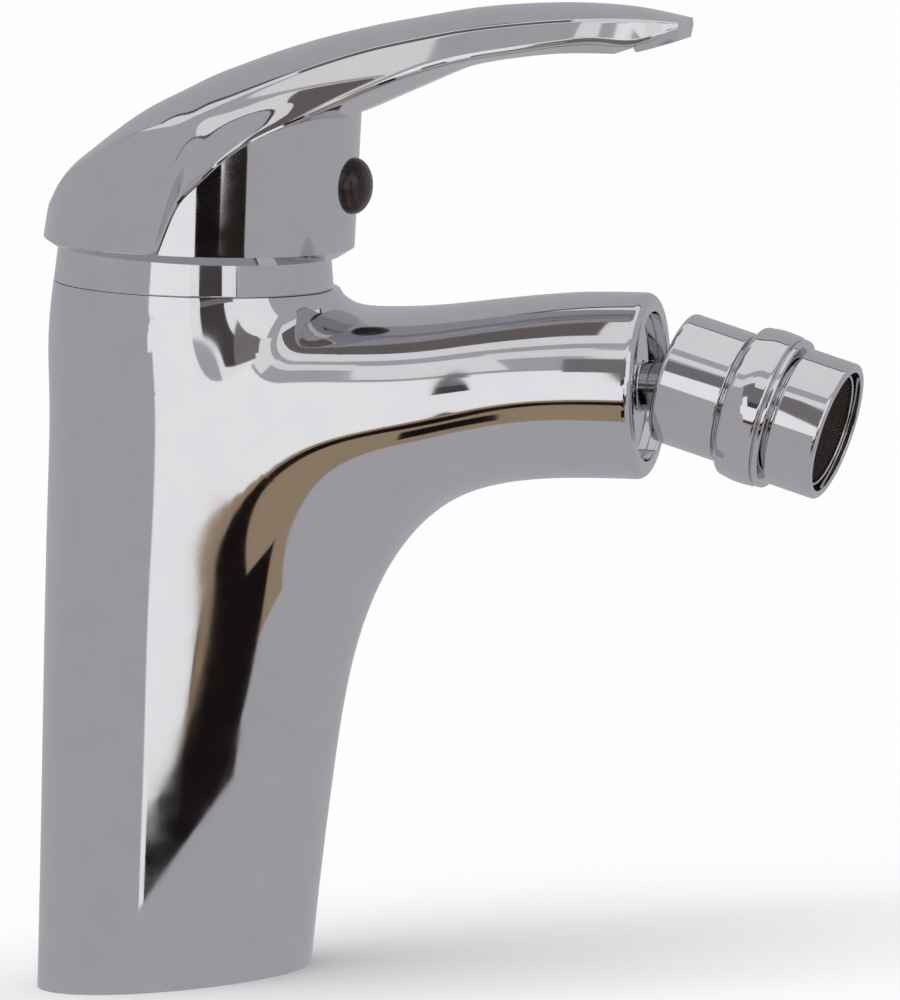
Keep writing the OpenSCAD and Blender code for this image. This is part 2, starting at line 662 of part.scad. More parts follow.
// cast lever: hub, arched blade, hollow underside and the spindle's boss
module lever_handle() {
    color("silver") on_column() difference() {
        union() {
            difference() {
                union() {
                    loft(blade_loops);
                    intersection() {
                        translate([hub_x, 0, rim_z]) cylinder(h = lever_rise, r = hub_r, $fn = fine);
                        translate([0, far / 2, rim_z]) rotate([90, 0, 0]) linear_extrude(height = far)
                            polygon(hub_side);
                    }
                }
                translate([0, 0, pivot_z]) sphere(r = hollow_r, $fn = fine);
            }
            translate([0, 0, boss_z])
                cylinder(h = pivot_z + hollow_r - boss_z + boss_over, r = boss_r, $fn = fine);
        }
        translate([hub_x, 0, rim_z]) turned([[hub_r - rim_bevel, -lead], [hub_r + bevel_over, -lead],
            [hub_r + bevel_over, rim_bevel + bevel_over], [hub_r - rim_bevel, 0]]);
        translate([-spindle_w / 2 - seat_c, -spindle_w / 2 - seat_c, pivot_z])
            cube([spindle_w + 2 * seat_c, spindle_w + 2 * seat_c, spindle_top - pivot_z + seat_c]);
        translate([0, 0, plug_h]) rod_x(0, plug_x, grub_d / 2 + seat_c);
        translate([0, 0, plug_h]) rod_x(plug_x - plug_depth, far, plug_d / 2 + seat_c);
        translate([notch_x * blade_kx, -far / 2, rim_z]) cube([notch_w, far, notch_roof * blade_kz]);
    }
}

// screw that locks the lever on the spindle
grub_l = 8;
hex_depth = 3;
module grub_screw() {
    color("dimgray") on_column() translate([0, 0, plug_h]) difference() {
        rod_x(spindle_w / 2 + seat_c, spindle_w / 2 + grub_l, grub_d / 2);
        rod_x(spindle_w / 2 + grub_l - hex_depth, spindle_w / 2 + grub_l + lead, grub_d / 4);
    }
}

// domed dark plug over the screw's hole
plug_dome = 2.9;
plug_out = 0.6;
module index_plug() {
    color("saddlebrown") on_column() translate([plug_x, 0, plug_h]) turned_x([
        [0, seat_c - plug_depth], [plug_d / 2, seat_c - plug_depth], [plug_d / 2, plug_out],
        for (a = [10 : 10 : 80]) [plug_d / 2 * cos(a), plug_out + plug_dome * sin(a)],
        [0, plug_out + plug_dome]]);
}

// stem screwed into the spout's mouth, with the ball the nozzle turns on
seal_h = 1.6;
stem_recess = 1.8;
stem_x = mouth_floor - ball_x + seal_h;
stem_plug_l = mouth_depth - seal_h - stem_recess;
neck_in = 1.5;
module ball_stem() {
    color("silver") on_ball_axis() difference() {
        union() {
            rod_x(stem_x, stem_x + stem_plug_l, stem_plug_r);
            rod_x(stem_x + stem_plug_l - lead, neck_in - ball_r, neck_out_r);
            sphere(r = ball_r, $fn = fine);
        }
        rod_x(-far, far, stem_bore_d / 2);
    }
}

// rubber washer at the bottom of the spout's mouth
stem_seal_in = 0.4;
stem_seal_out = 0.3;
module stem_seal() {
    color("black") on_ball_axis()
        tube_x(stem_x - seal_h + seat_c, stem_x - seat_c,
            spout_bore_d / 2 + stem_seal_in, stem_plug_r - stem_seal_out);
}

// low-friction shell between ball and housing: it turns sideways with the nozzle
liner_back = -4.4;
liner_front = 4.6;
module ball_liner() {
    color("white") on_ball_axis() rotate([0, 0, -nozzle_turn]) difference() {
        sphere(r = liner_out, $fn = fine);
        sphere(r = liner_in, $fn = fine);
        rod_x(-far, liner_back, far);
        rod_x(liner_front, far, far);
    }
}

// swivel housing with the ball's socket
swivel_r = swivel_d / 2;
swivel_edge = 1.2;
swivel_edge_mid = 0.35;
swivel_front_edge = 0.6;
core_r = 5;
lip_r = 6.3;
lip_x = -4.9;
mouth_flare_r = 7.9;
throat_r = 7.2;
module swivel_housing() {
    color("silver") on_nozzle() difference() {
        turned_x([[core_r, swivel_back], [swivel_r - swivel_edge, swivel_back],
            [swivel_r - swivel_edge_mid, swivel_back + swivel_edge_mid],
            [swivel_r, swivel_back + swivel_edge], [swivel_r, swivel_front - swivel_front_edge],
            [swivel_r - swivel_front_edge, swivel_front], [tube_r, swivel_front],
            [tube_r, tube_front], [core_r, tube_front]]);
        sphere(r = socket_r, $fn = fine);
        turned_x([[0, swivel_back - lead], [mouth_flare_r, swivel_back - lead], [lip_r, lip_x],
            [lip_r, 0], [0, 0]]);
        rod_x(0, far, throat_r);
    }
}

// lock collar, barrel shaped between two grooves; corners as [drop below its widest
// radius, distance from its back], the last two from its front
collar_r = collar_d / 2;
groove_r = swivel_r - 0.9;
groove_edge = 0.4;
front_groove_r = aerator_d / 2 - 0.9;
module lock_collar() {
    color("silver") on_nozzle() turned_x([
        [tube_r + seat_c, collar_back], [groove_r, collar_back], [groove_r + groove_edge, collar_back + 0.3],
        for (p = [[0.7, 0.5], [0.15, 1.7], [0, collar_l * 0.45]]) [collar_r - p[0], collar_back + p[1]],
        for (p = [[0.1, 2.2], [0.6, 0.8]]) [collar_r - p[0], collar_front - p[1]],
        [front_groove_r + groove_edge, collar_front - groove_edge], [front_groove_r, collar_front],
        [tube_r + seat_c, collar_front]]);
}

// outer shell of the aerator
aerator_r = aerator_d / 2;
aerator_edge = 0.4;
aerator_lip = 0.9;
module aerator_housing() {
    color("silver") on_nozzle() difference() {
        turned_x([[passage_r, tube_front + seat_c], [tube_r - seat_c, tube_front + seat_c],
            [tube_r - seat_c, aerator_back], [aerator_r - aerator_edge, aerator_back],
            [aerator_r, aerator_back + aerator_edge], [aerator_r, aerator_front - aerator_lip],
            [aerator_r - aerator_lip, aerator_front], [passage_r, aerator_front]]);
        rod_x(insert_room, far, aerator_in_r);
    }
}

// rubber washer behind the insert
washer_t = 1.2;
module aerator_washer() {
    color("black") on_nozzle()
        tube_x(insert_room + seat_c, insert_room + washer_t, passage_r, aerator_in_r - seat_c);
}

// moulded flow insert with jet holes
insert_x = insert_room + washer_t + seat_c;
insert_l = 3.4;
jet_r = 0.8;
jet_circle_r = 5;
module flow_insert() {
    color("white") on_nozzle() difference() {
        rod_x(insert_x, insert_x + insert_l, aerator_in_r - seat_c);
        for (a = [0 : 60 : 300]) rotate([a, 0, 0]) translate([0, jet_circle_r, 0])
            rod_x(insert_x - lead, insert_x + insert_l + lead, jet_r);
    }
}

// woven screens, drawn as thin perforated discs
screen_t = 0.4;
screen_gap = 0.5;
screen_pitch = 3;
screen_hole_r = 0.7;
screen_ring_t = 1.1;
module screen_disc(at, r) {
    on_nozzle() difference() {
        rod_x(at, at + screen_t, r);
        for (i = [-2 : 2], j = [-2 : 2]) translate([0, i * screen_pitch, j * screen_pitch])
            rod_x(at - lead, at + screen_t + lead, screen_hole_r);
    }
}
inner_screen_x = insert_x + insert_l + seat_c;
outer_screen_x = inner_screen_x + screen_t + screen_gap;
module inner_screen() {
    color("gray") screen_disc(inner_screen_x, aerator_in_r - seat_c);
}

module outer_screen() {
    color("saddlebrown") screen_disc(outer_screen_x, aerator_in_r - screen_ring_t);
}

// thin bright ring that holds the outer screen
ring_back = inner_screen_x + screen_t;
ring_front = outer_screen_x + screen_t + 0.5;
ring_in_r = aerator_in_r - screen_ring_t + seat_c;
ring_slope = 0.7;
ring_wall_l = 0.9;
module screen_ring() {
    color("silver") on_nozzle() turned_x([
        [ring_in_r, ring_back + seat_c], [aerator_in_r - seat_c, ring_back + seat_c],
        [aerator_in_r - seat_c, ring_back + ring_wall_l], [aerator_in_r - ring_slope, ring_front],
        [ring_in_r, ring_front]]);
}

body_casting();
base_gasket();
cartridge_base();
inlet_seals();
fixed_disc();
cartridge_housing();
cartridge_o_ring();
retaining_nut();
nut_o_ring();
cover_ring();
ball_stem();
stem_seal();
rotor();
pivot_pin();
moving_disc();
disc_carrier();
spindle();
lever_handle();
grub_screw();
index_plug();
ball_liner();
swivel_housing();
lock_collar();
aerator_housing();
aerator_washer();
flow_insert();
inner_screen();
outer_screen();
screen_ring();
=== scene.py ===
import math

import bmesh
import bpy
import numpy as np
from mathutils import Matrix, Vector


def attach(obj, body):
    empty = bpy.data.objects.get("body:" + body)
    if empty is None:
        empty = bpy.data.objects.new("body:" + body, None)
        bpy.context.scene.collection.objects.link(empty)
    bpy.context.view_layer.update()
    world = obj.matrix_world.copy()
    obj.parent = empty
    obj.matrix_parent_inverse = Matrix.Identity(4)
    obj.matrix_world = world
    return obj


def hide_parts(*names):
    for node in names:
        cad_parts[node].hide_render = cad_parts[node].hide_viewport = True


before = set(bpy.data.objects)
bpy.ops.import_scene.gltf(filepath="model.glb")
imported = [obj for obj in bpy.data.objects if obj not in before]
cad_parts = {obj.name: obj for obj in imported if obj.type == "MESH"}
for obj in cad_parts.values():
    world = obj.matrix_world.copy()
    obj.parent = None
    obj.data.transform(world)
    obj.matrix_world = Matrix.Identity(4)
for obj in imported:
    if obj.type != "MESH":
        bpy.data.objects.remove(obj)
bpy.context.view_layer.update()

# The view of the photograph.
# A long lens looks at the near side of the mixer, a little from the front and above.
# Distances are in millimetres along the leaning column, turned into the deck's frame.
MM = 0.001
LEAN = math.radians(7.0)
column_frame = Matrix.Rotation(LEAN, 4, "Y") @ Matrix.Scale(MM, 4)
camera_target = Vector((46.3, 0.0, 85.0))
camera_azimuth = math.radians(13.8)
camera_elevation = math.radians(7.1)
camera_roll = math.radians(1.8)
camera_distance = 1960.0
camera_sensor = 36.0
camera_lens = 414.0

camera_back = Vector((
    math.sin(camera_azimuth) * math.cos(camera_elevation),
    -math.cos(camera_azimuth) * math.cos(camera_elevation),
    math.sin(camera_elevation)))
level_right = (-camera_back).cross(Vector((0.0, 0.0, 1.0))).normalized()
level_up = level_right.cross(-camera_back)
camera_right = level_right * math.cos(camera_roll) + level_up * math.sin(camera_roll)
camera_up = level_up * math.cos(camera_roll) - level_right * math.sin(camera_roll)
camera_turn = Matrix((camera_right, camera_up, camera_back)).transposed().to_4x4()
camera_data = bpy.data.cameras.new("photo_view")
camera_data.sensor_fit = "VERTICAL"
camera_data.sensor_height = camera_sensor
camera_data.lens = camera_lens
camera_data.clip_end = 20.0
camera = bpy.data.objects.new("photo_view", camera_data)
camera.matrix_world = (
    Matrix.Translation(column_frame @ (camera_target + camera_back * camera_distance))
    @ Matrix.Rotation(LEAN, 4, "Y") @ camera_turn)
bpy.context.scene.collection.objects.link(camera)
bpy.context.scene.camera = camera


# Cast body: one brass casting, a leaning column that flows into a short round spout.
# It is machined at the foot, the top and the mouth, polished by hand and chrome plated.

# stations along the front and underside edge, from below the foot to the mouth: edge x, edge height,
# depth of the spout form behind the edge, its half width, the softness of its blend into the column,
# how full its upper flank is and how far that rises past the depth
stations = np.array([
    [22.2, -9, 36.2, 19.6, 120, 2, 0],
    [26.8, 38, 41, 20.6, 245, 1.9, 0],
    [32.5, 66, 44.5, 21.2, 330, 1.9, 2.5],
    [40.8, 80, 47, 22.3, 330, 2.8, 4],
    [47.5, 85.4, 35.7, 21, 295, 2.8, 1],
    [57, 88.8, 31, 18.1, 240, 2.4, 0],
    [68, 90.2, 31.3, 16.6, 180, 2.15, 0],
    [79.2, 90.65, 31.5, 15.75, 120, 2, 0],
])
skin_step = 0.4
throat_step = 0.12
throat_span = (85.0, 112.0)
flank_taper = 0.25
skin_half = 60
body_top = 119.6
base_r = 23.2
column_r = 23.5
column_swell = 0.5
swell_power = 1.6
foot_back = 0.3
shoulder_swell = 0.9
shoulder_drop = 8.6
shoulder_spread = 11.0
roof_front = 24.0
roof_bend = 0.35
lift_floor = 0.05
crown_soft = 0.9
crown_reach = 1.3
spout_end = 80.8
spout_z = 106.4
spout_r = 15.75
mouth_r = 12.6
mouth_floor = 66.8
rim_round = 1.6
rim_steps = 9
mouth_edge = 0.3
mouth_hold = 0.1
search_out = 6.0
search_far = 90.0
search_stride = 0.25
search_top = 200.0
search_rounds = 40
merge_gap = 0.002
sliver_size = 0.001
sharp_angle = 35.0


def spline(rows, knots, at):
    """Natural cubic curve through the rows of a table, one row at each knot, read at the given places."""
    gaps = np.diff(knots)[:, None]
    rises = np.diff(rows, axis=0) / gaps
    system = np.eye(len(rows))
    bends = np.zeros_like(rows, dtype=float)
    for i in range(1, len(rows) - 1):
        system[i, i - 1:i + 2] = gaps[i - 1, 0], 2 * (gaps[i - 1, 0] + gaps[i, 0]), gaps[i, 0]
        bends[i] = 6 * (rises[i] - rises[i - 1])
    bends = np.linalg.solve(system, bends)
    first = np.clip(np.searchsorted(knots, at, side="right") - 1, 0, len(rows) - 2)
    gap = gaps[first]
    t = (at - knots[first])[:, None] / gap
    return ((1 - t) * rows[first] + t * rows[first + 1]
            - t * (1 - t) * gap ** 2 / 6 * ((2 - t) * bends[first] + (1 + t) * bends[first + 1]))


def cut_point(cuts, n):
    """Place in the middle plane at depth n along each cut."""
    turn = np.radians(cuts[:, 2:3])
    return cuts[:, 0:1] + n * np.cos(turn), cuts[:, 1:2] + n * np.sin(turn)


def body_width2(cuts, n):
    """Square of the body's half width at depth n along each cut."""
    turn, depth, half, soft, full, rise = (cuts[:, i:i + 1] for i in range(2, 8))
    x, z = cut_point(cuts, n)
    share = np.clip(z / body_top, 0, 1)
    radius = (base_r + (column_r - base_r) * share
              + column_swell * np.sin(np.pi * share ** swell_power)
              + shoulder_swell * np.exp(-((z - body_top + shoulder_drop) / shoulder_spread) ** 2))
    column = radius ** 2 - (x + foot_back * (1 - share)) ** 2
    share = (n - depth / 2) / (depth / 2)
    lift = rise / 2 + np.sqrt(rise ** 2 / 4 + lift_floor)
    upper = np.maximum(share, 0) * depth / (depth + 2 * lift)
    flank = half + flank_taper * np.abs(np.cos(np.radians(turn))) * depth / 2 * upper ** 2
    spout = flank ** 2 * (1 - np.where(share > 0, upper ** full, share ** 2))
    soft = soft * (1 + crown_soft * np.clip(share, 0, crown_reach) ** 4)
    blend = np.maximum(soft - np.abs(column - spout), 0) / soft
    return np.maximum(column, spout) + soft / 6 * blend ** 3


def in_body(cuts, n):
    """Within the body, in the middle plane."""
    return body_width2(cuts, n) > 0


def under_top(cuts, n):
    """Below the machined top face, which ends in front of the cover ring."""
    x, z = cut_point(cuts, n)
    return z < body_top + roof_bend * np.maximum(x - roof_front, 0) ** 2


def halve(cuts, holds, inside, outside):
    """Depth along each cut at which a condition stops holding, between two depths."""
    for _ in range(search_rounds):
        middle = (inside + outside) / 2
        within = holds(cuts, middle)
        inside = np.where(within, middle, inside)
        outside = np.where(within, outside, middle)
    return (inside + outside) / 2


def grid_faces(rows, columns, closed=True):
    """Quads between neighbouring rows of points, each row closed on itself or open."""
    index = np.arange(rows * columns).reshape(rows, columns)
    turned = np.roll(index, -1, axis=1)
    quads = np.stack([index[:-1], turned[:-1], turned[1:], index[1:]], axis=-1)
    return (quads if closed else quads[:, :-1]).reshape(-1, 4)


def new_piece(name, points, faces, place, flat=None):
    """Object with its place in its mesh: points in millimetres of a frame, doubles merged."""
    mesh = bpy.data.meshes.new(name)
    work = bmesh.new()
    corners = [work.verts.new(place @ Vector(p)) for p in points]
    for face in faces:
        work.faces.new([corners[i] for i in face])
    bmesh.ops.remove_doubles(work, verts=work.verts, dist=merge_gap * MM)
    bmesh.ops.dissolve_degenerate(work, edges=work.edges, dist=sliver_size * MM)
    bmesh.ops.recalc_face_normals(work, faces=work.faces)
    work.to_mesh(mesh)
    work.free()
    mesh.shade_smooth()
    if flat is not None:
        mesh.set_sharp_from_angle(angle=math.radians(flat))
    piece = bpy.data.objects.new(name, mesh)
    bpy.context.scene.collection.objects.link(piece)
    return piece


station_gaps = np.linalg.norm(np.diff(stations[:, :2], axis=0), axis=1)
knots = np.append(0, np.cumsum(station_gaps))
cut_places = np.concatenate([np.arange(0, throat_span[0], skin_step), np.arange(*throat_span, throat_step),
                             np.arange(throat_span[1], knots[-1], skin_step), knots[-1:]])
drawn = spline(stations, knots, cut_places)
# the cuts stand square to the edge, level at the foot and upright at the mouth
along_z, along_x = (np.gradient(drawn[:, i], cut_places) for i in (1, 0))
square = np.arctan2(along_z, along_x)
turn = 90 + 90 * (square - square[-1]) / (square[0] - square[-1])
cuts = np.column_stack([drawn[:, :2], turn, drawn[:, 2:]])
middle = cuts[:, 3:4] / 2
near = halve(cuts, in_body, middle, np.full_like(middle, -search_out))
strides = np.arange(0, search_far, search_stride)
outside = ~in_body(cuts, middle + strides)
first_out = np.where(outside.any(axis=1), outside.argmax(axis=1), len(strides) - 1)
out_depth = middle + strides[first_out][:, None]
free_end = halve(cuts, in_body, out_depth - search_stride, out_depth)
top_end = halve(cuts, under_top, np.zeros_like(middle), np.full_like(middle, search_top))
far = np.minimum(free_end, top_end)
sweep = np.linspace(0, np.pi, skin_half + 1)
depths = (near + far) / 2 - (far - near) / 2 * np.cos(sweep)
half_widths = np.sqrt(np.maximum(body_width2(cuts, depths), 0))
half_widths[:, 0] = 0
half_widths[free_end[:, 0] < top_end[:, 0], -1] = 0
skin_x, skin_z = cut_point(cuts, depths)
near_side = np.stack([skin_x, -half_widths, skin_z], axis=-1)
far_side = np.stack([skin_x, half_widths, skin_z], axis=-1)[:, :0:-1]
skin_loops = list(np.concatenate([near_side, far_side], axis=1))


def rim_loops(profile):
    """Loops that carry on the spout's last loop inwards, from [x, radius] places."""
    last = skin_loops[-1]
    around = (last[:, 1:] - [0, spout_z]) / spout_r
    return [np.column_stack([np.full(len(last), x), around[:, :1] * r,
                             spout_z + around[:, 1:] * r]) for x, r in profile]


bend = np.linspace(0, np.pi / 2, rim_steps)[1:]
mouth_profile = [(spout_end - rim_round + rim_round * math.sin(a),
                  spout_r - rim_round * (1 - math.cos(a))) for a in bend]
mouth_profile += [(spout_end, mouth_r + mouth_edge + mouth_hold), (spout_end, mouth_r + mouth_edge),
                  (spout_end - mouth_edge / 3, mouth_r + mouth_edge / 4), (spout_end - mouth_edge, mouth_r),
                  (spout_end - mouth_edge - mouth_hold, mouth_r), (mouth_floor, mouth_r), (mouth_floor, 0.0)]
skin_loops += rim_loops(mouth_profile)
loop_points = len(skin_loops[0])
body = new_piece("body_casting_skin", np.concatenate(skin_loops),
                 grid_faces(len(skin_loops), loop_points), column_frame)

# the foot is cut level with the deck, grooved for its gasket and hollow for the hoses
gasket_out_r = 22.0
gasket_in_r = 20.1
gasket_t = 1.9
cavity_r = 18.0
cavity_h = 32.0
cut_tolerance = 1e-7
level_tolerance = 1e-6
foot = bmesh.new()
foot.from_mesh(body.data)
bmesh.ops.bisect_plane(foot, geom=foot.verts[:] + foot.edges[:] + foot.faces[:], dist=cut_tolerance,
                       plane_co=(0, 0, 0), plane_no=(0, 0, 1), clear_inner=True)
edge = [e for e in foot.edges if e.is_boundary and max(abs(v.co.z) for v in e.verts) < level_tolerance]
rim = sorted({v for e in edge for v in e.verts}, key=lambda v: math.atan2(v.co.y, v.co.x))


def foot_ring(radius, height, leaning):
    """Vertices in line with the foot's edge, on a level circle or on the leaning hollow."""
    ring = []
    for v in rim:
        angle = math.atan2(v.co.y, v.co.x)
        x = radius * math.cos(angle)
        y = radius * math.sin(angle)
        if leaning:
            along = (height + x * math.sin(LEAN)) / math.cos(LEAN)
            spot = column_frame @ Vector((x, y, along))
        else:
            spot = Vector((x, y, height)) * MM
        ring.append(foot.verts.new(spot))
    return ring


def foot_band(outer, inner):
    """Faces between two loops of the foot's vertices."""
    for i in range(len(outer)):
        j = (i + 1) % len(outer)
        foot.faces.new([outer[i], outer[j], inner[j], inner[i]])


def loop_edges(loop):
    """Edges around a closed loop of the foot's vertices."""
    return [foot.edges.get((loop[i], loop[(i + 1) % len(loop)])) for i in range(len(loop))]


rings = [rim, foot_ring(gasket_out_r, 0.0, False), foot_ring(gasket_out_r, gasket_t, False),
         foot_ring(gasket_in_r, gasket_t, False), foot_ring(gasket_in_r, 0.0, False),
         foot_ring(cavity_r, 0.0, True)]
ceiling = [foot.verts.new(column_frame @ Vector((cavity_r * math.cos(a), cavity_r * math.sin(a), cavity_h)))
           for a in (math.atan2(v.co.y, v.co.x) for v in rim)]
rings.append(ceiling)
for outer, inner in zip(rings, rings[1:]):
    foot_band(outer, inner)
# holes for the two hoses and the stud: x, y, radius and depth
bores = [(2.0, 7.0, 4.55, 14.0), (2.0, -7.0, 4.55, 14.0), (-10.5, 0.0, 3.4, 17.0)]
bore_points = 48
roof_edges = loop_edges(ceiling)
for bore_x, bore_y, bore_r, bore_depth in bores:
    stack = []
    for height in (cavity_h, cavity_h + bore_depth):
        stack.append([foot.verts.new(column_frame @ Vector((
            bore_x + bore_r * math.cos(2 * math.pi * k / bore_points),
            bore_y + bore_r * math.sin(2 * math.pi * k / bore_points), height)))
            for k in range(bore_points)])
    foot_band(stack[0], stack[1])
    foot.faces.new(stack[1])
    roof_edges += loop_edges(stack[0])
bmesh.ops.triangle_fill(foot, use_beauty=True, use_dissolve=False, edges=roof_edges)
bmesh.ops.recalc_face_normals(foot, faces=foot.faces)
foot.to_mesh(body.data)
foot.free()
body.data.shade_smooth()
body.data.set_sharp_from_angle(angle=math.radians(sharp_angle))


def linear(code):
    """Linear colour of an sRGB hex value."""
    parts = [int(code[i:i + 2], 16) / 255 for i in (1, 3, 5)]
    return [p / 12.92 if p <= 0.04045 else ((p + 0.055) / 1.055) ** 2.4 for p in parts] + [1.0]


def add_node(tree, kind, inputs=None, **settings):
    """Adds a node; inputs maps a socket's name or number to a value or to a node's output."""
    node = tree.nodes.new(kind)
    for name, value in settings.items():
        setattr(node, name, value)
    for key, value in (inputs or {}).items():
        if isinstance(value, bpy.types.NodeSocket):
            tree.links.new(value, node.inputs[key])
        else:
            node.inputs[key].default_value = value
    return node


def new_finish(name):
    """Material with an empty node tree."""
    finish = bpy.data.materials.new(name)
    finish.use_nodes = True
    finish.node_tree.nodes.clear()
    return finish, finish.node_tree


# polished chrome plate: a hard mirror with a faint polishing haze that varies over the surface
chrome_dark = "#d4d3d8"
chrome_light = "#dddddf"
chrome_gloss = (0.035, 0.075)
haze_size = 6.0
haze_detail = 4.0
noise_low = 0.3
noise_high = 0.7
chrome, tree = new_finish("polished_chrome_plate")
place = add_node(tree, "ShaderNodeTexCoord").outputs["Object"]
haze = add_node(tree, "ShaderNodeTexNoise", {
    "Vector": place, "Scale": 1 / (haze_size * MM), "Detail": haze_detail})
chrome_rough = add_node(tree, "ShaderNodeMapRange", {
    "Value": haze.outputs["Fac"], "From Min": noise_low, "From Max": noise_high,
    "To Min": chrome_gloss[0], "To Max": chrome_gloss[1]})
chrome_tone = add_node(tree, "ShaderNodeMix", {
    0: haze.outputs["Fac"], 6: linear(chrome_dark), 7: linear(chrome_light)}, data_type="RGBA")
shader = add_node(tree, "ShaderNodeBsdfPrincipled", {
    "Base Color": chrome_tone.outputs[2], "Metallic": 1.0, "Roughness": chrome_rough.outputs["Result"]})
add_node(tree, "ShaderNodeOutputMaterial", {"Surface": shader.outputs["BSDF"]})

body.data.materials.append(chrome)
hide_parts("body_casting")
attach(body, "mixer_body")


# Rubber seals: the gasket under the foot, the cartridge's and nut's rings and the washers at
# the inlets, the stem and the aerator. All are moulded nitrile rubber, pressed into their seats.
grain_detail = 5.0
grain_strength = 0.5


def grained(name, dark, light, grain, rough, metal, depth):
    """Finish with a fine grain, sized in millimetres, in its colour, gloss and surface."""
    finish, tree = new_finish(name)
    place = add_node(tree, "ShaderNodeTexCoord").outputs["Object"]
    grit = add_node(tree, "ShaderNodeTexNoise", {
        "Vector": place, "Scale": 1 / (grain * MM), "Detail": grain_detail})
    tone = add_node(tree, "ShaderNodeValToRGB", {"Fac": grit.outputs["Fac"]})
    tone.color_ramp.elements[0].color = linear(dark)
    tone.color_ramp.elements[0].position = noise_low
    tone.color_ramp.elements[1].color = linear(light)
    tone.color_ramp.elements[1].position = noise_high
    gloss = add_node(tree, "ShaderNodeMapRange", {
        "Value": grit.outputs["Fac"], "From Min": noise_low, "From Max": noise_high,
        "To Min": rough[0], "To Max": rough[1]})
    bump = add_node(tree, "ShaderNodeBump", {
        "Height": grit.outputs["Fac"], "Strength": grain_strength, "Distance": depth * MM})
    shader = add_node(tree, "ShaderNodeBsdfPrincipled", {
        "Base Color": tone.outputs["Color"], "Metallic": metal, "Roughness": gloss.outputs["Result"],
        "Normal": bump.outputs["Normal"]})
    add_node(tree, "ShaderNodeOutputMaterial", {"Surface": shader.outputs["BSDF"]})
    return finish


def dress(finish, *nodes):
    """Gives a finish to solids that keep their own shape."""
    for node in nodes:
        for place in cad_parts[node].material_slots:
            place.material = finish


# black nitrile rubber: dull, with the fine grain of its mould
rubber = grained("moulded_nitrile_rubber", "#141313", "#262423", 0.5, (0.55, 0.75), 0.0, 0.02)
dress(rubber, "base_gasket", "inlet_seals", "cartridge_o_ring", "nut_o_ring", "stem_seal", "aerator_washer")


# Cartridge: moulded acetal shell, turning cap and disc carrier, dropped into the body's chamber.
# The aerator's flow insert is the same plastic. Two lapped alumina discs inside mix the water.
acetal = grained("moulded_acetal", "#d2d1ca", "#e2e1db", 0.8, (0.38, 0.52), 0.0, 0.015)
dress(acetal, "cartridge_base", "cartridge_housing", "rotor", "disc_carrier", "flow_insert")
# lapped alumina: pale cream and almost polished
alumina = grained("lapped_alumina", "#e6e0d4", "#f1ede4", 0.3, (0.10, 0.18), 0.0, 0.002)
dress(alumina, "fixed_disc", "moving_disc")


# Retaining nut: turned brass, left bare, screwed down on the cartridge's shoulder.
# Fine turning marks and a little tarnish break up its shine.
brass = grained("turned_brass", "#a98544", "#c7a25c", 0.6, (0.22, 0.36), 1.0, 0.01)
dress(brass, "retaining_nut")


# Cover ring: a thin turned brass ring, chrome plated, pushed over the cartridge nut.
# A rubber ring inside grips it; its lower edge leaves a fine dark seam above the casting.
ring_top = 126.0
ring_low_r = 23.95
ring_high_r = 23.3
ring_bore_r = 20.15
ring_low_edge = 0.3
ring_top_edge = 0.45
ring_bore_edge = 0.1
ring_seam = 0.02
edge_steps = 6
hold = 0.06


def rounded(corners):
    """Closed or open profile from [along, radius, edge] corners, with held points by each arc."""
    path = []
    for i, (along, radius, size) in enumerate(corners):
        spot = np.array([along, radius])
        if size == 0:
            path.append(spot)
            continue
        before = np.array(corners[i - 1][:2]) - spot
        after = np.array(corners[(i + 1) % len(corners)][:2]) - spot
        before /= np.linalg.norm(before)
        after /= np.linalg.norm(after)
        path.append(spot + before * (size + hold))
        for s in np.linspace(0, 1, edge_steps + 1):
            path.append(spot + before * size * (1 - s) ** 2 + after * size * s ** 2)
        path.append(spot + after * (size + hold))
    return np.array(path)


def turned_piece(name, path, place, closed=True, around=192, flat=sharp_angle):
    """Piece turned about +X of a frame from a profile of [along, radius] points."""
    angles = np.linspace(0, 2 * np.pi, around, endpoint=False)
    rings = [np.column_stack([np.full(around, x), r * np.cos(angles), r * np.sin(angles)]) for x, r in path]
    if closed:
        rings.append(rings[0])
    return new_piece(name, np.concatenate(rings), grid_faces(len(rings), around), place, flat)


upright = column_frame @ Matrix.Rotation(-math.pi / 2, 4, "Y")
ring = turned_piece("cover_ring_turned", rounded([
    (body_top + ring_seam, ring_bore_r, ring_bore_edge), (body_top + ring_seam, ring_low_r, ring_low_edge),
    (ring_top, ring_high_r, ring_top_edge), (ring_top, ring_bore_r, ring_bore_edge)]), upright)
ring.data.materials.append(chrome)
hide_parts("cover_ring")
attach(ring, "mixer_body")


# Spindle, pin and grub screw: machined steel, hidden in the cartridge and the lever's hub.
# The square spindle tips on the pin and the screw clamps the lever to it.
steel = grained("machined_steel", "#8d8c8b", "#a9a8a6", 0.4, (0.25, 0.40), 1.0, 0.008)
dress(steel, "spindle", "pivot_pin", "grub_screw")


# Lever: a zinc die casting, polished and chromed like the body, fixed on the cartridge's
# square spindle by a grub screw. Its hub is hollow below, so it can tip over the ring.
rim_z = 125.2

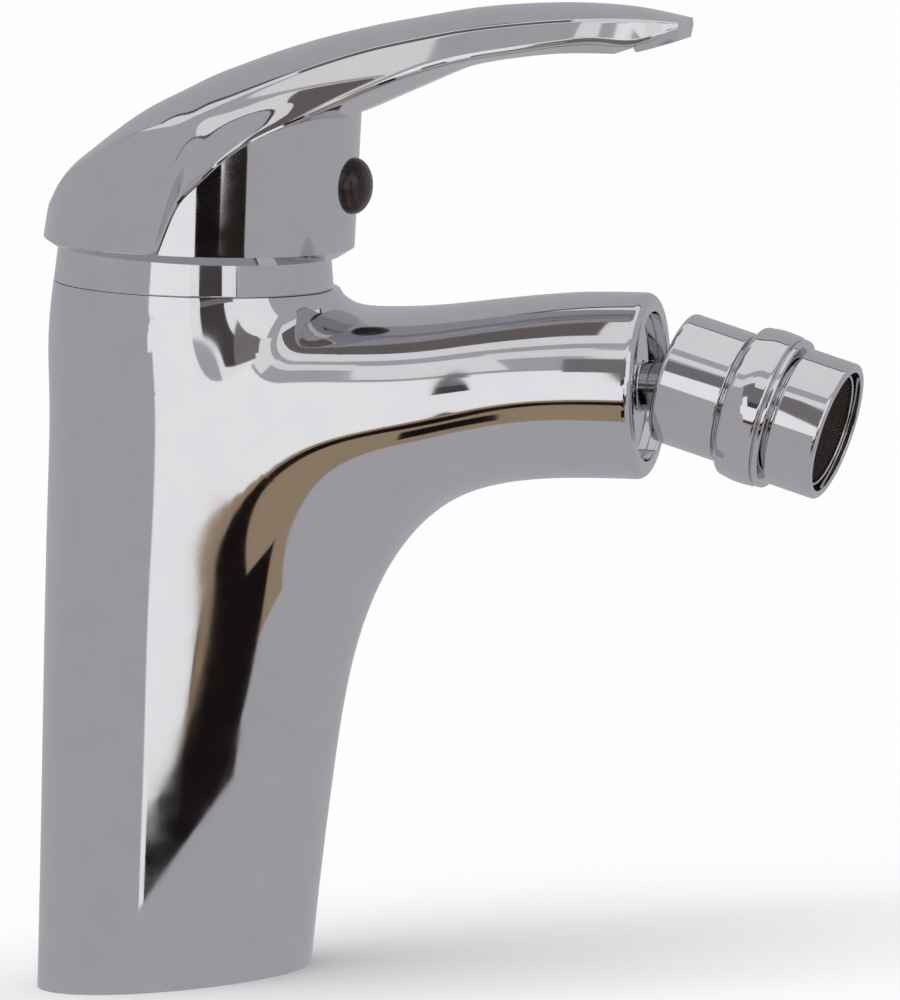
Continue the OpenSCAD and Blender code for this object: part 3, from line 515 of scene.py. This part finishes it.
# one cross cut in each row: x, crown height above the rim, half width and height of the top edge,
# of the lower edge and of the keel, where the side's knee begins, and the lower edge's rounding
blade_rows = np.array([
    [-26.4, 2.4, 0.8, 2.2, 1.4, 1.0, 0.8, 0.8, 0.02, 0.3],
    [-26.1, 4.4, 1.4, 4.2, 2.9, 1.0, 1.2, 0.6, 0.02, 0.5],
    [-25.0, 7.9, 3.6, 7.3, 8.2, -0.8, 4, -1.0, 0.02, 1.0],
    [-22.6, 12.2, 6.2, 11.0, 14.5, -2.0, 7, -2.0, 0.02, 1.0],
    [-19.0, 16.0, 8.4, 14.2, 19.3, -2.0, 8, -2.0, 0.02, 1.0],
    [-13.8, 20.3, 10.4, 17.7, 23.6, -2.0, 8, -2.0, 0.02, 1.0],
    [-8.6, 24.1, 11.8, 20.4, 26.2, -2.0, 8, -2.0, 0.03, 1.2],
    [-3.4, 27.0, 12.8, 22.2, 27.8, -2.0, 8, -2.0, 0.05, 1.8],
    [0.3, 29.0, 13.2, 23.2, 28.5, 1.0, 8, 1.0, 0.08, 2.6],
    [3.4, 30.6, 13.3, 24.6, 28.8, 8.8, 8, 8.8, 0.13, 2.8],
    [6.9, 32.1, 13.3, 26.3, 28.3, 13.4, 8, 13.2, 0.2, 2.8],
    [10.5, 33.6, 13.3, 28.0, 27.1, 17.2, 8, 16.7, 0.29, 2.7],
    [19.7, 37.0, 13.0, 32.2, 21.2, 23.5, 8, 22.2, 0.45, 2.2],
    [27.6, 39.4, 12.6, 35.3, 17.2, 27.5, 7.4, 24.9, 0.58, 1.8],
    [33.0, 40.8, 12.3, 37.1, 15.7, 30.2, 6.8, 27.4, 0.72, 1.6],
    [39.7, 42.3, 11.9, 38.9, 14.4, 33.0, 6.4, 30.6, 0.9, 1.4],
    [47.8, 44.0, 11.3, 40.8, 13.2, 35.6, 6.2, 34.2, 1.0, 1.3],
    [56.8, 45.2, 10.6, 42.3, 12.1, 37.5, 6.2, 36.4, 1.0, 1.2],
    [65.4, 45.8, 9.9, 43.4, 11.2, 39.2, 6.2, 37.6, 1.0, 1.1],
    [72.0, 45.8, 9.3, 43.9, 10.4, 39.9, 6.2, 37.9, 1.0, 1.0],
    [77.5, 45.4, 8.4, 44.1, 9.5, 39.8, 6.4, 38.4, 1.0, 0.9],
    [81.6, 44.7, 7.2, 44.0, 8.2, 41.4, 6.0, 39.6, 1.0, 0.6],
    [84.6, 44.1, 5.6, 43.8, 6.4, 42.8, 4.6, 40.6, 1.0, 0.4],
])
blade_step = 0.6
top_edge_size = 0.45
facet_lean = 0.4
knee_size = 0.05
crown_trim = 0.3
side_trim = 0.2
low_edge_trim = 0.3
under_trim = 0.4
least_length = 1e-6
crown_steps = np.linspace(0, 1, 13)
side_steps = np.linspace(0, 1, 17)
corner_steps = np.linspace(0, 1, 6)[:, None]
under_steps = np.linspace(0, 1, 8)
keel_steps = np.linspace(0, 1, 4)


def between(start, end, steps):
    """Points on a straight line."""
    return start + (end - start) * steps[:, None]


def corner_arc(start, corner, end):
    """Points on a curve that rounds a corner."""
    s = corner_steps
    return (1 - s) ** 2 * start + 2 * s * (1 - s) * corner + s ** 2 * end


def blade_half(row):
    """Half of one cross cut, from the crown down to the keel, with rounded edges."""
    crown, top, low, keel = np.array([0, row[1]]), row[2:4], row[4:6], row[6:8]
    side = low - top
    length = np.linalg.norm(side)
    trim = min(top_edge_size, top[0] * crown_trim, length * side_trim)
    across = crown_steps * (1 - trim / top[0])
    crown_line = np.column_stack([top[0] * across, crown[1] - (crown[1] - top[1]) * across ** 2])
    low_trim = min(row[9], length * low_edge_trim)
    along = trim / length + (1 - (trim + low_trim) / length) * side_steps
    steep = min(facet_lean * abs(side[1]), side[0])
    knee = knee_size * np.log1p(np.exp((along - row[8]) / knee_size))
    knee_end = knee_size * np.log1p(np.exp((1 - row[8]) / knee_size))
    side_line = np.column_stack([top[0] + steep * along + (side[0] - steep) * knee / knee_end,
                                 top[1] + side[1] * along])
    under = keel - low
    under_start = low + under * min(under_trim, low_trim / max(np.linalg.norm(under), least_length))
    top_arc = corner_arc(crown_line[-1], top, side_line[0])
    low_arc = corner_arc(side_line[-1], low, under_start)
    return np.concatenate([crown_line[:-1], top_arc[:-1], side_line[:-1], low_arc[:-1],
                           between(under_start, keel, under_steps),
                           between(keel, np.array([0, keel[1]]), keel_steps)[1:]])


blade_loops = []
blade_x = blade_rows[:, 0]
blade_places = np.linspace(blade_x[0], blade_x[-1], round(np.ptp(blade_x) / blade_step) + 1)
for row in spline(blade_rows, blade_x, blade_places):
    half = blade_half(row)
    near_half = np.column_stack([np.full(len(half), row[0]), -half[:, 0], rim_z + half[:, 1]])
    far_half = near_half[-2:0:-1] * [1, -1, 1]
    blade_loops.append(np.concatenate([near_half, far_half]))
loop_points = len(blade_loops[0])
last = (len(blade_loops) - 1) * loop_points
caps = [list(range(loop_points)), list(range(last, last + loop_points))]
lever = new_piece("lever_handle_cast", np.concatenate(blade_loops),
                  grid_faces(len(blade_loops), loop_points).tolist() + caps, column_frame)

# the hub's front wall stands under the blade's lower edge
hub_x = 0.9
hub_r = 27.0
hub_taper = 0.6
hub_height = 27.0
hub_low_r = hub_r - hub_taper
hub_line = np.array([[-30, 1.2], [0.3, 1.6], [3.4, 9.6], [6.9, 14.2], [10.5, 17.8], [19.7, 24.0],
                     [27.6, 28.2], [30, 28.2]])
hub_sink = 0.5
hub_points = 256
hub_around = np.linspace(0, 2 * np.pi, hub_points, endpoint=False)


def hub_ring(radius, height):
    """Points around the hub's axis at a height above the rim."""
    return np.column_stack([hub_x + radius * np.cos(hub_around), radius * np.sin(hub_around),
                            rim_z + np.broadcast_to(height, hub_points)])


def hub_roof(radius):
    """Height of the blade's lower edge above the rim, around the hub."""
    return np.interp(hub_x + radius * np.cos(hub_around), hub_line[:, 0], hub_line[:, 1])


hub_rings = [hub_ring(hub_low_r * share, -hub_sink) for share in (0.0, 0.5, 1.0)]
for share in np.linspace(0, 1, 13):
    height = -hub_sink + (hub_roof(hub_r) + hub_sink) * share
    hub_rings.append(hub_ring(hub_r - hub_taper * (1 - height / hub_height), height))
hub_rings += [hub_ring(hub_r * share, hub_roof(hub_r * share)) for share in (0.75, 0.5, 0.25, 0.0)]
hub = new_piece("hub", np.concatenate(hub_rings), grid_faces(len(hub_rings), hub_points), column_frame)


def carve(piece, tool, operation):
    """Joins a tool body to a piece or cuts it away, and removes the tool."""
    step = piece.modifiers.new("carve", "BOOLEAN")
    step.solver = "MANIFOLD"
    step.operation = operation
    step.object = tool
    graph = bpy.context.evaluated_depsgraph_get()
    carved = bpy.data.meshes.new_from_object(piece.evaluated_get(graph))
    piece.modifiers.remove(step)
    piece.data = carved
    bpy.data.objects.remove(tool)


def block(name, low, high):
    """Box between two corners, in millimetres of the column."""
    corners = [(x, y, z) for x in (low[0], high[0]) for y in (low[1], high[1]) for z in (low[2], high[2])]
    sides = [(0, 1, 3, 2), (4, 5, 7, 6), (0, 1, 5, 4), (2, 3, 7, 6), (0, 2, 6, 4), (1, 3, 7, 5)]
    return new_piece(name, corners, sides, column_frame)


pivot_z = 119.2
hollow_r = 25.02
bevel_w = 2.4
bevel_h = 1.7
boss_r = 8.6
boss_z = 128.5
boss_top = 146.0
notch_x = 74.0
notch_w = 3.6
notch_roof = 39.4
tool_margin = 6.0
tool_side = 60.0
tool_front = 120.0
tool_below = 30.0
lever_sharp = 25.0
dome = np.linspace(0, np.pi, 97)
hollow_path = np.column_stack([pivot_z - hollow_r * np.cos(dome), hollow_r * np.sin(dome)])
bevel_in = hub_low_r - bevel_w
bevel_out = hub_r + tool_margin
bevel_path = np.array([(-1, bevel_in), (-1, bevel_out), (bevel_h * (1 + tool_margin / bevel_w), bevel_out),
                       (0, bevel_in)])
boss_path = np.array([(boss_z, 0), (boss_z, boss_r), (boss_top, boss_r), (boss_top, 0)])
rim_frame = column_frame @ Matrix.Translation((hub_x, 0, rim_z)) @ Matrix.Rotation(-math.pi / 2, 4, "Y")
carve(lever, hub, "UNION")
carve(lever, turned_piece("hollow", hollow_path, upright, closed=False), "DIFFERENCE")
below_rim = block("below_rim", (-tool_side, -tool_side, rim_z - tool_below), (tool_front, tool_side, rim_z))
carve(lever, below_rim, "DIFFERENCE")
carve(lever, turned_piece("rim_cut", bevel_path, rim_frame), "DIFFERENCE")
carve(lever, turned_piece("boss", boss_path, upright, closed=False), "UNION")
notch_end = (notch_x + notch_w, tool_side, rim_z + notch_roof)
carve(lever, block("notch", (notch_x, -tool_side, rim_z), notch_end), "DIFFERENCE")
lever.data.shade_smooth()
lever.data.set_sharp_from_angle(angle=math.radians(lever_sharp))
lever.data.materials.clear()
lever.data.materials.append(chrome)
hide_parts("lever_handle")
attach(lever, "lever")


# Index plug: a small domed cap of glossy dark brown plastic, pressed into the hub's front
# over the grub screw. Fine flow lines from its moulding run across the dome.
plug_x = 27.6
plug_z = 137.8
plug_r = 4.85
plug_depth = 3.98
plug_out = 0.08
plug_dome = 3.2
plug_edge = 0.2
plug_points = 96
plug_sharp = 60.0
flow_size = 0.7
flow_stretch = 0.08
arc = np.linspace(0, math.pi / 2, 15)
plug_path = np.concatenate([
    [[-plug_depth, 0.0], [-plug_depth, plug_r - plug_edge], [-plug_depth + plug_edge, plug_r]],
    np.column_stack([plug_out + plug_dome * np.sin(arc), plug_r * np.cos(arc)])])
plug = turned_piece("index_plug_cap", plug_path, column_frame @ Matrix.Translation((plug_x, 0, plug_z)),
                    closed=False, around=plug_points, flat=plug_sharp)
# glossy brown plastic: dark, with faint flow lines
plug_brown, tree = new_finish("glossy_brown_acetal")
place = add_node(tree, "ShaderNodeTexCoord").outputs["Object"]
stretch = add_node(tree, "ShaderNodeMapping", {"Vector": place, "Scale": (1.0, 1.0, flow_stretch)})
lines = add_node(tree, "ShaderNodeTexNoise", {
    "Vector": stretch.outputs["Vector"], "Scale": 1 / (flow_size * MM)})
tone = add_node(tree, "ShaderNodeValToRGB", {"Fac": lines.outputs["Fac"]})
tone.color_ramp.elements[0].color = linear("#1c1412")
tone.color_ramp.elements[0].position = 0.35
tone.color_ramp.elements[1].color = linear("#3d2d28")
tone.color_ramp.elements[1].position = 0.7
shader = add_node(tree, "ShaderNodeBsdfPrincipled", {
    "Base Color": tone.outputs["Color"], "Roughness": 0.22, "IOR": 1.48})
add_node(tree, "ShaderNodeOutputMaterial", {"Surface": shader.outputs["BSDF"]})
plug.data.materials.append(plug_brown)
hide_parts("index_plug")
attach(plug, "lever")


# Ball stem: turned brass, chromed, screwed into the spout's mouth against a rubber washer.
# Its neck carries the ball that the nozzle swivels on, drilled through for the water.
ball_x = 92.0
ball_r = 7.0
neck_r = 4.2
stem_bore_r = 2.3
stem_back = -23.6
stem_front = -13.0
stem_r = mouth_r - 0.02
ball_frame = column_frame @ Matrix.Translation((ball_x, 0, spout_z))
neck_end = math.sqrt(ball_r ** 2 - neck_r ** 2)
ball_arc = np.linspace(math.pi - math.asin(neck_r / ball_r), math.asin(stem_bore_r / ball_r), 40)
stem_path = np.concatenate([
    rounded([(stem_back, stem_bore_r, 0), (stem_back, stem_r, 0.3), (stem_front, stem_r, 0.4),
             (stem_front, neck_r, 0.5), (-neck_end - 0.1, neck_r, 0)]),
    np.column_stack([ball_r * np.cos(ball_arc), ball_r * np.sin(ball_arc)])])
stem = turned_piece("ball_stem_turned", stem_path, ball_frame)
stem.data.materials.append(chrome)
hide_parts("ball_stem")
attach(stem, "mixer_body")


# Ball liner: a thin white shell of low-friction plastic between ball and housing.
# It is moulded in one piece and turns sideways with the nozzle.
slick = grained("moulded_ptfe", "#e2e2e0", "#efefed", 0.7, (0.42, 0.55), 0.0, 0.01)
dress(slick, "ball_liner")


# Nozzle: three turned and chromed brass shells on one axis, screwed together.
# The swivel housing holds the ball, the barrel collar locks it, the aerator shell ends it.
nozzle_droop = math.radians(14.6)
nozzle_turn = math.radians(4.0)
nozzle_frame = (ball_frame @ Matrix.Rotation(-nozzle_turn, 4, "Z") @ Matrix.Rotation(nozzle_droop, 4, "Y"))
socket_r = 8.5
socket_front = 4.52
socket_back = -5.42
socket_arc = np.linspace(math.acos(socket_front / socket_r), math.acos(socket_back / socket_r), 25)

# profiles of the shells: place along the axis, radius and edge size of each corner
swivel_path = np.concatenate([
    rounded([(socket_back, 6.53, 0), (-7.7, 7.48, 0.25), (-7.7, 11.35, 0.9), (3.9, 11.35, 0.4),
             (3.9, 9.6, 0.1), (12.4, 9.6, 0.2), (12.4, 7.2, 0.2), (4.6, 7.2, 0)]),
    np.column_stack([socket_r * np.cos(socket_arc), socket_r * np.sin(socket_arc)])[:-1]])
collar_path = rounded([
    (4.42, 9.62, 0), (4.42, 9.9, 0.05), (4.85, 9.9, 0.1), (4.9, 13.0, 0.9), (8.3, 13.5, 1.2),
    (11.6, 13.3, 0.5), (11.75, 12.7, 0.1), (12.0, 12.7, 0.1), (12.05, 13.15, 0.3), (13.0, 13.0, 0.4),
    (13.1, 10.0, 0.1), (13.58, 10.0, 0.05), (13.58, 9.62, 0)])
aerator_path = rounded([
    (12.45, 7.4, 0), (12.45, 9.56, 0.1), (13.82, 9.56, 0), (13.82, 12.0, 0.5), (22.3, 12.0, 0.7),
    (22.3, 10.5, 0.25), (14.8, 10.5, 0), (14.8, 7.4, 0)])
for name, node, path in (("swivel_housing_turned", "swivel_housing", swivel_path),
                         ("lock_collar_turned", "lock_collar", collar_path),
                         ("aerator_housing_turned", "aerator_housing", aerator_path)):
    shell = turned_piece(name, path, nozzle_frame)
    shell.data.materials.append(chrome)
    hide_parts(node)
    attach(shell, "nozzle")


# Aerator screens: two discs woven from fine steel wire, tarnished brown by the water.
# A thin chromed ring holds them in the shell's mouth and leaves a dark gap around itself.
screen_pitch = 0.6
wire_r = 0.1
weave_lift = 0.1
wire_sides = 6
steps_per_pitch = 4


def woven_tree():
    """Node tree of a round plain-weave screen, with its sizes as named inputs."""
    tree = bpy.data.node_groups.new("woven_screen", "GeometryNodeTree")
    for name, kind in (("Radius", "Float"), ("Half Span", "Float"), ("Pitch", "Float"), ("Wires", "Int"),
                       ("Points", "Int"), ("Step", "Float"), ("Wire Radius", "Float"), ("Lift", "Float"),
                       ("Wire Sides", "Int"), ("Wire Finish", "Material")):
        tree.interface.new_socket(name, in_out="INPUT", socket_type="NodeSocket" + kind)
    tree.interface.new_socket("Geometry", in_out="OUTPUT", socket_type="NodeSocketGeometry")
    given = add_node(tree, "NodeGroupInput").outputs

    def maths(operation, *values):
        return add_node(tree, "ShaderNodeMath", dict(enumerate(values)), operation=operation).outputs[0]

    def place_at(**parts):
        return add_node(tree, "ShaderNodeCombineXYZ", parts).outputs[0]

    back = maths("MULTIPLY", given["Half Span"], -1.0)
    wire = add_node(tree, "GeometryNodeMeshLine", {
        "Count": given["Points"], "Start Location": place_at(X=back), "Offset": place_at(X=given["Step"])})
    spots = add_node(tree, "GeometryNodeMeshLine", {
        "Count": given["Wires"], "Start Location": place_at(Y=back), "Offset": place_at(Y=given["Pitch"])})
    laid = add_node(tree, "GeometryNodeInstanceOnPoints", {
        "Points": spots.outputs["Mesh"], "Instance": wire.outputs["Mesh"]})
    warp = add_node(tree, "GeometryNodeRealizeInstances", {"Geometry": laid.outputs["Instances"]})
    weft = add_node(tree, "GeometryNodeTransform", {
        "Geometry": warp.outputs["Geometry"], "Rotation": (0.0, 0.0, math.pi / 2)})
    position = add_node(tree, "GeometryNodeInputPosition").outputs[0]
    spot = add_node(tree, "ShaderNodeSeparateXYZ", {0: position})
    waves = []
    for axis in ("X", "Y"):
        pitches = maths("DIVIDE", spot.outputs[axis], given["Pitch"])
        waves.append(maths("COSINE", maths("MULTIPLY", pitches, math.pi)))
    wave = maths("MULTIPLY", *waves)
    sets = []
    for laid_wires, side in ((warp, 1.0), (weft, -1.0)):
        height = maths("MULTIPLY", wave, maths("MULTIPLY", given["Lift"], side))
        sets.append(add_node(tree, "GeometryNodeSetPosition", {
            "Geometry": laid_wires.outputs["Geometry"], "Offset": place_at(Z=height)}))
    both = add_node(tree, "GeometryNodeJoinGeometry")
    for laid_wires in sets:
        tree.links.new(laid_wires.outputs["Geometry"], both.inputs["Geometry"])
    reach = add_node(tree, "ShaderNodeVectorMath", {0: position}, operation="LENGTH").outputs["Value"]
    past = maths("GREATER_THAN", reach, given["Radius"])
    trimmed = add_node(tree, "GeometryNodeDeleteGeometry", {
        "Geometry": both.outputs["Geometry"], "Selection": past})
    paths = add_node(tree, "GeometryNodeMeshToCurve", {"Mesh": trimmed.outputs["Geometry"]})
    section = add_node(tree, "GeometryNodeCurvePrimitiveCircle", {
        "Resolution": given["Wire Sides"], "Radius": given["Wire Radius"]})
    solid = add_node(tree, "GeometryNodeCurveToMesh", {
        "Curve": paths.outputs["Curve"], "Profile Curve": section.outputs["Curve"], "Fill Caps": True})
    real = add_node(tree, "GeometryNodeRealizeInstances", {"Geometry": solid.outputs["Mesh"]})
    painted = add_node(tree, "GeometryNodeSetMaterial", {
        "Geometry": real.outputs["Geometry"], "Material": given["Wire Finish"]})
    add_node(tree, "NodeGroupOutput", {"Geometry": painted.outputs["Geometry"]})
    return tree


# tarnished steel wire: brown, half dull, with darker spots where lime has settled
wire_finish = grained("tarnished_steel_wire", "#241a17", "#4a3a33", 0.5, (0.35, 0.6), 0.6, 0.01)
weave = woven_tree()
across = Matrix.Rotation(math.pi / 2, 4, "Y")
for node, along, radius in (("inner_screen", 19.64, 10.35), ("outer_screen", 20.54, 9.3)):
    gaps = 2 * int(radius / screen_pitch)
    loom = bpy.data.objects.new(node + "_loom", bpy.data.meshes.new(node + "_loom"))
    bpy.context.scene.collection.objects.link(loom)
    step = loom.modifiers.new("weave", "NODES")
    step.node_group = weave
    sizes = {"Radius": radius, "Half Span": gaps * screen_pitch / 2, "Pitch": screen_pitch,
             "Wires": gaps + 1, "Points": gaps * steps_per_pitch + 1, "Step": screen_pitch / steps_per_pitch,
             "Wire Radius": wire_r, "Lift": weave_lift, "Wire Sides": wire_sides, "Wire Finish": wire_finish}
    for socket in weave.interface.items_tree:
        if socket.in_out == "INPUT":
            step[socket.identifier] = sizes[socket.name]
    woven = bpy.data.meshes.new_from_object(loom.evaluated_get(bpy.context.evaluated_depsgraph_get()))
    bpy.data.objects.remove(loom)
    woven.transform(nozzle_frame @ Matrix.Translation((along, 0, 0)) @ across)
    woven.shade_smooth()
    screen = bpy.data.objects.new(node + "_woven", woven)
    bpy.context.scene.collection.objects.link(screen)
    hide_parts(node)
    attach(screen, "nozzle")
clip = turned_piece("screen_ring_turned", rounded([
    (19.88, 9.4, 0.05), (19.88, 9.9, 0.1), (21.2, 9.9, 0.2), (21.2, 9.4, 0.2)]), nozzle_frame)
clip.data.materials.append(chrome)
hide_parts("screen_ring")
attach(clip, "nozzle")


# Studio: a pale paper floor in plain grey surroundings, lit by one broad soft light from above.
# White cards beside and above the mixer give the chrome its bright bands, tan and dark ones the rest.
# The small cards close to the mixer, the grey card over the spout and the grey disc round the foot are
# painted reflections and painted shade.
# Only reflections see the cards, so they stand in no view.
studio_bearing = math.radians(14.5)
studio_out = Vector((math.sin(studio_bearing), -math.cos(studio_bearing), 0))
studio_along = Vector((math.cos(studio_bearing), math.sin(studio_bearing), 0))
white = "#ffffff"
near_black = "#1a1514"
floor_reach = 8.0


def panel(name, corners, code, strength):
    """Flat glowing panel that only reflections see."""
    mesh = bpy.data.meshes.new(name)
    mesh.from_pydata(corners, [], [range(len(corners))])
    piece = bpy.data.objects.new(name, mesh)
    bpy.context.scene.collection.objects.link(piece)
    piece.visible_camera = False
    piece.visible_shadow = False
    piece.visible_diffuse = False
    paint, tree = new_finish(name)
    glow = add_node(tree, "ShaderNodeEmission", {"Color": linear(code), "Strength": strength})
    add_node(tree, "ShaderNodeOutputMaterial", {"Surface": glow.outputs["Emission"]})
    mesh.materials.append(paint)


def upright_corner(distance, bearing, height):
    """Place on an upright card, by its bearing in degrees and its height."""
    return (studio_out + studio_along * math.tan(math.radians(bearing))) * distance + Vector((0, 0, height))


# upright cards: distance, first and last bearing in degrees, bottom and top in metres, colour and glow
for name, distance, first, last, low, high, code, strength in (
        ("studio_low_pane", 4.0, -31.3, -1.8, -0.95, 1.8, white, 1.06),
        ("studio_low_pane_wing", 4.0, -35.0, -31.3, -0.1, 0.9, white, 1.06),
        ("studio_low_pane_side", 3.49, -1.8, 60.0, 0.1, 3.2, white, 1.0),
        ("studio_high_pane", 3.45, -16.0, 30.0, 1.8, 4.2, white, 0.9),
        ("studio_high_wing", 3.45, -50.0, -16.0, 3.2, 4.6, white, 0.85),
        ("studio_side_pane", 3.0, 14.0, 36.0, -0.53, 0.1, white, 1.06),
        ("studio_side_edge", 3.0, 36.0, 37.2, -0.53, 0.1, "#3a3434", 1.0),
        ("studio_desk", 2.81, -31.4, 24.0, -2.31, -0.5, "#a8937a", 0.9),
        # painted dark reflection: a near-black card 0.2 m from the foot, hidden from view, paints a dark
        # band into the chrome of the body's flank
        ("painted_reflection_low_dark", 0.2, 6.7, 32.0, -0.0205, 0.016, near_black, 1.0),
        ("studio_ring_dark", 3.0, -4.0, 17.0, -0.6, -0.25, near_black, 1.0),
        ("studio_hub_dark", 2.8, 13.0, 33.0, -1.0, -0.45, "#2a2220", 1.0),
        # painted reflections: these grey and dark cards sit 0.2 m and less from the mixer at the lever's
        # height, hidden from view, and stand in for the reflected shade of the lever and the nearby parts
        ("painted_reflection_near_dark", 0.2, 9.1, 32.6, 0.135, 0.208, "#7f7878", 1.0),
        ("painted_reflection_near_black", 0.2, 9.1, 26.0, 0.114, 0.135, "#4a4446", 1.0),
        ("painted_reflection_nozzle_dark", 0.136, 16.8, 32.0, 0.139, 0.182, "#7c7a7c", 1.0)):
    card_corners = ((first, low), (last, low), (last, high), (first, high))
    panel(name, [upright_corner(distance, *corner) for corner in card_corners], code, strength)

# the desk's edge is a sloping strip
desk_edge_out = 0.86
desk_edge = ((-27.0, -0.15), (13.0, -0.27), (13.0, -0.135), (-27.0, -0.112))
panel("studio_desk_edge", [upright_corner(desk_edge_out, *corner) for corner in desk_edge], near_black, 1.0)

# level cards overhead: near and far end, left and right side in metres, colour and glow
overhead_height = 3.6
for name, near_end, far_end, left, right, code, strength in (
        ("studio_overhead_pane", 2.1, -1.86, -2.5, 3.0, white, 0.86),
        ("studio_overhead_edge", -1.86, -2.05, -4.0, 3.0, "#4a4648", 1.0)):
    card_corners = ((near_end, left), (near_end, right), (far_end, right), (far_end, left))
    panel(name, [studio_out * out + studio_along * along + Vector((0, 0, overhead_height))
                 for out, along in card_corners], code, strength)

# painted reflection: a small grey card over the spout paints the lever's dark reflection into the spout's
# top, and a grey disc round the foot paints shade into the floor's reflection
lever_reflection_x = (0.015, 0.083)
lever_reflection_y = (-0.048, -0.005)
lever_reflection_z = 0.2
panel("painted_lever_reflection", [(lever_reflection_x[0], lever_reflection_y[0], lever_reflection_z), (lever_reflection_x[1], lever_reflection_y[0], lever_reflection_z),
                      (lever_reflection_x[1], lever_reflection_y[1], lever_reflection_z), (lever_reflection_x[0], lever_reflection_y[1], lever_reflection_z)], "#6e6664", 1.0)
# painted shade: reflections see this grey disc, just under the floor, in place of the pale floor round the
# foot
floor_shade_r = 0.15
floor_shade_z = -0.004
floor_shade_turns = np.linspace(0, 2 * np.pi, 48, endpoint=False)
panel("painted_floor_shade", [(floor_shade_r * math.cos(a), floor_shade_r * math.sin(a), floor_shade_z) for a in floor_shade_turns],
      "#b5b4b7", 1.0)

floor_mesh = bpy.data.meshes.new("studio_floor")
floor_mesh.from_pydata([(-floor_reach, -floor_reach, 0), (floor_reach, -floor_reach, 0),
                        (floor_reach, floor_reach, 0), (-floor_reach, floor_reach, 0)], [], [(0, 1, 2, 3)])
floor = bpy.data.objects.new("studio_floor", floor_mesh)
bpy.context.scene.collection.objects.link(floor)
floor_paint, tree = new_finish("pale_floor_paper")
paper = add_node(tree, "ShaderNodeBsdfDiffuse", {"Color": linear("#f4f4f4")})
add_node(tree, "ShaderNodeOutputMaterial", {"Surface": paper.outputs["BSDF"]})
floor_mesh.materials.append(floor_paint)
floor.visible_glossy = False

world = bpy.data.worlds.new("studio_surround")
bpy.context.scene.world = world
world.use_nodes = True
tree = world.node_tree
tree.nodes.clear()
sky = add_node(tree, "ShaderNodeBackground", {"Color": linear("#b4b3b6")})
add_node(tree, "ShaderNodeOutputWorld", {"Surface": sky.outputs["Background"]})

overhead_data = bpy.data.lights.new("studio_overhead", "SUN")
overhead_data.energy = 2.0
overhead_data.angle = math.radians(60.0)
overhead = bpy.data.objects.new("studio_overhead", overhead_data)
bpy.context.scene.collection.objects.link(overhead)
overhead.visible_glossy = False
bpy.context.scene.view_settings.view_transform = "Standard"
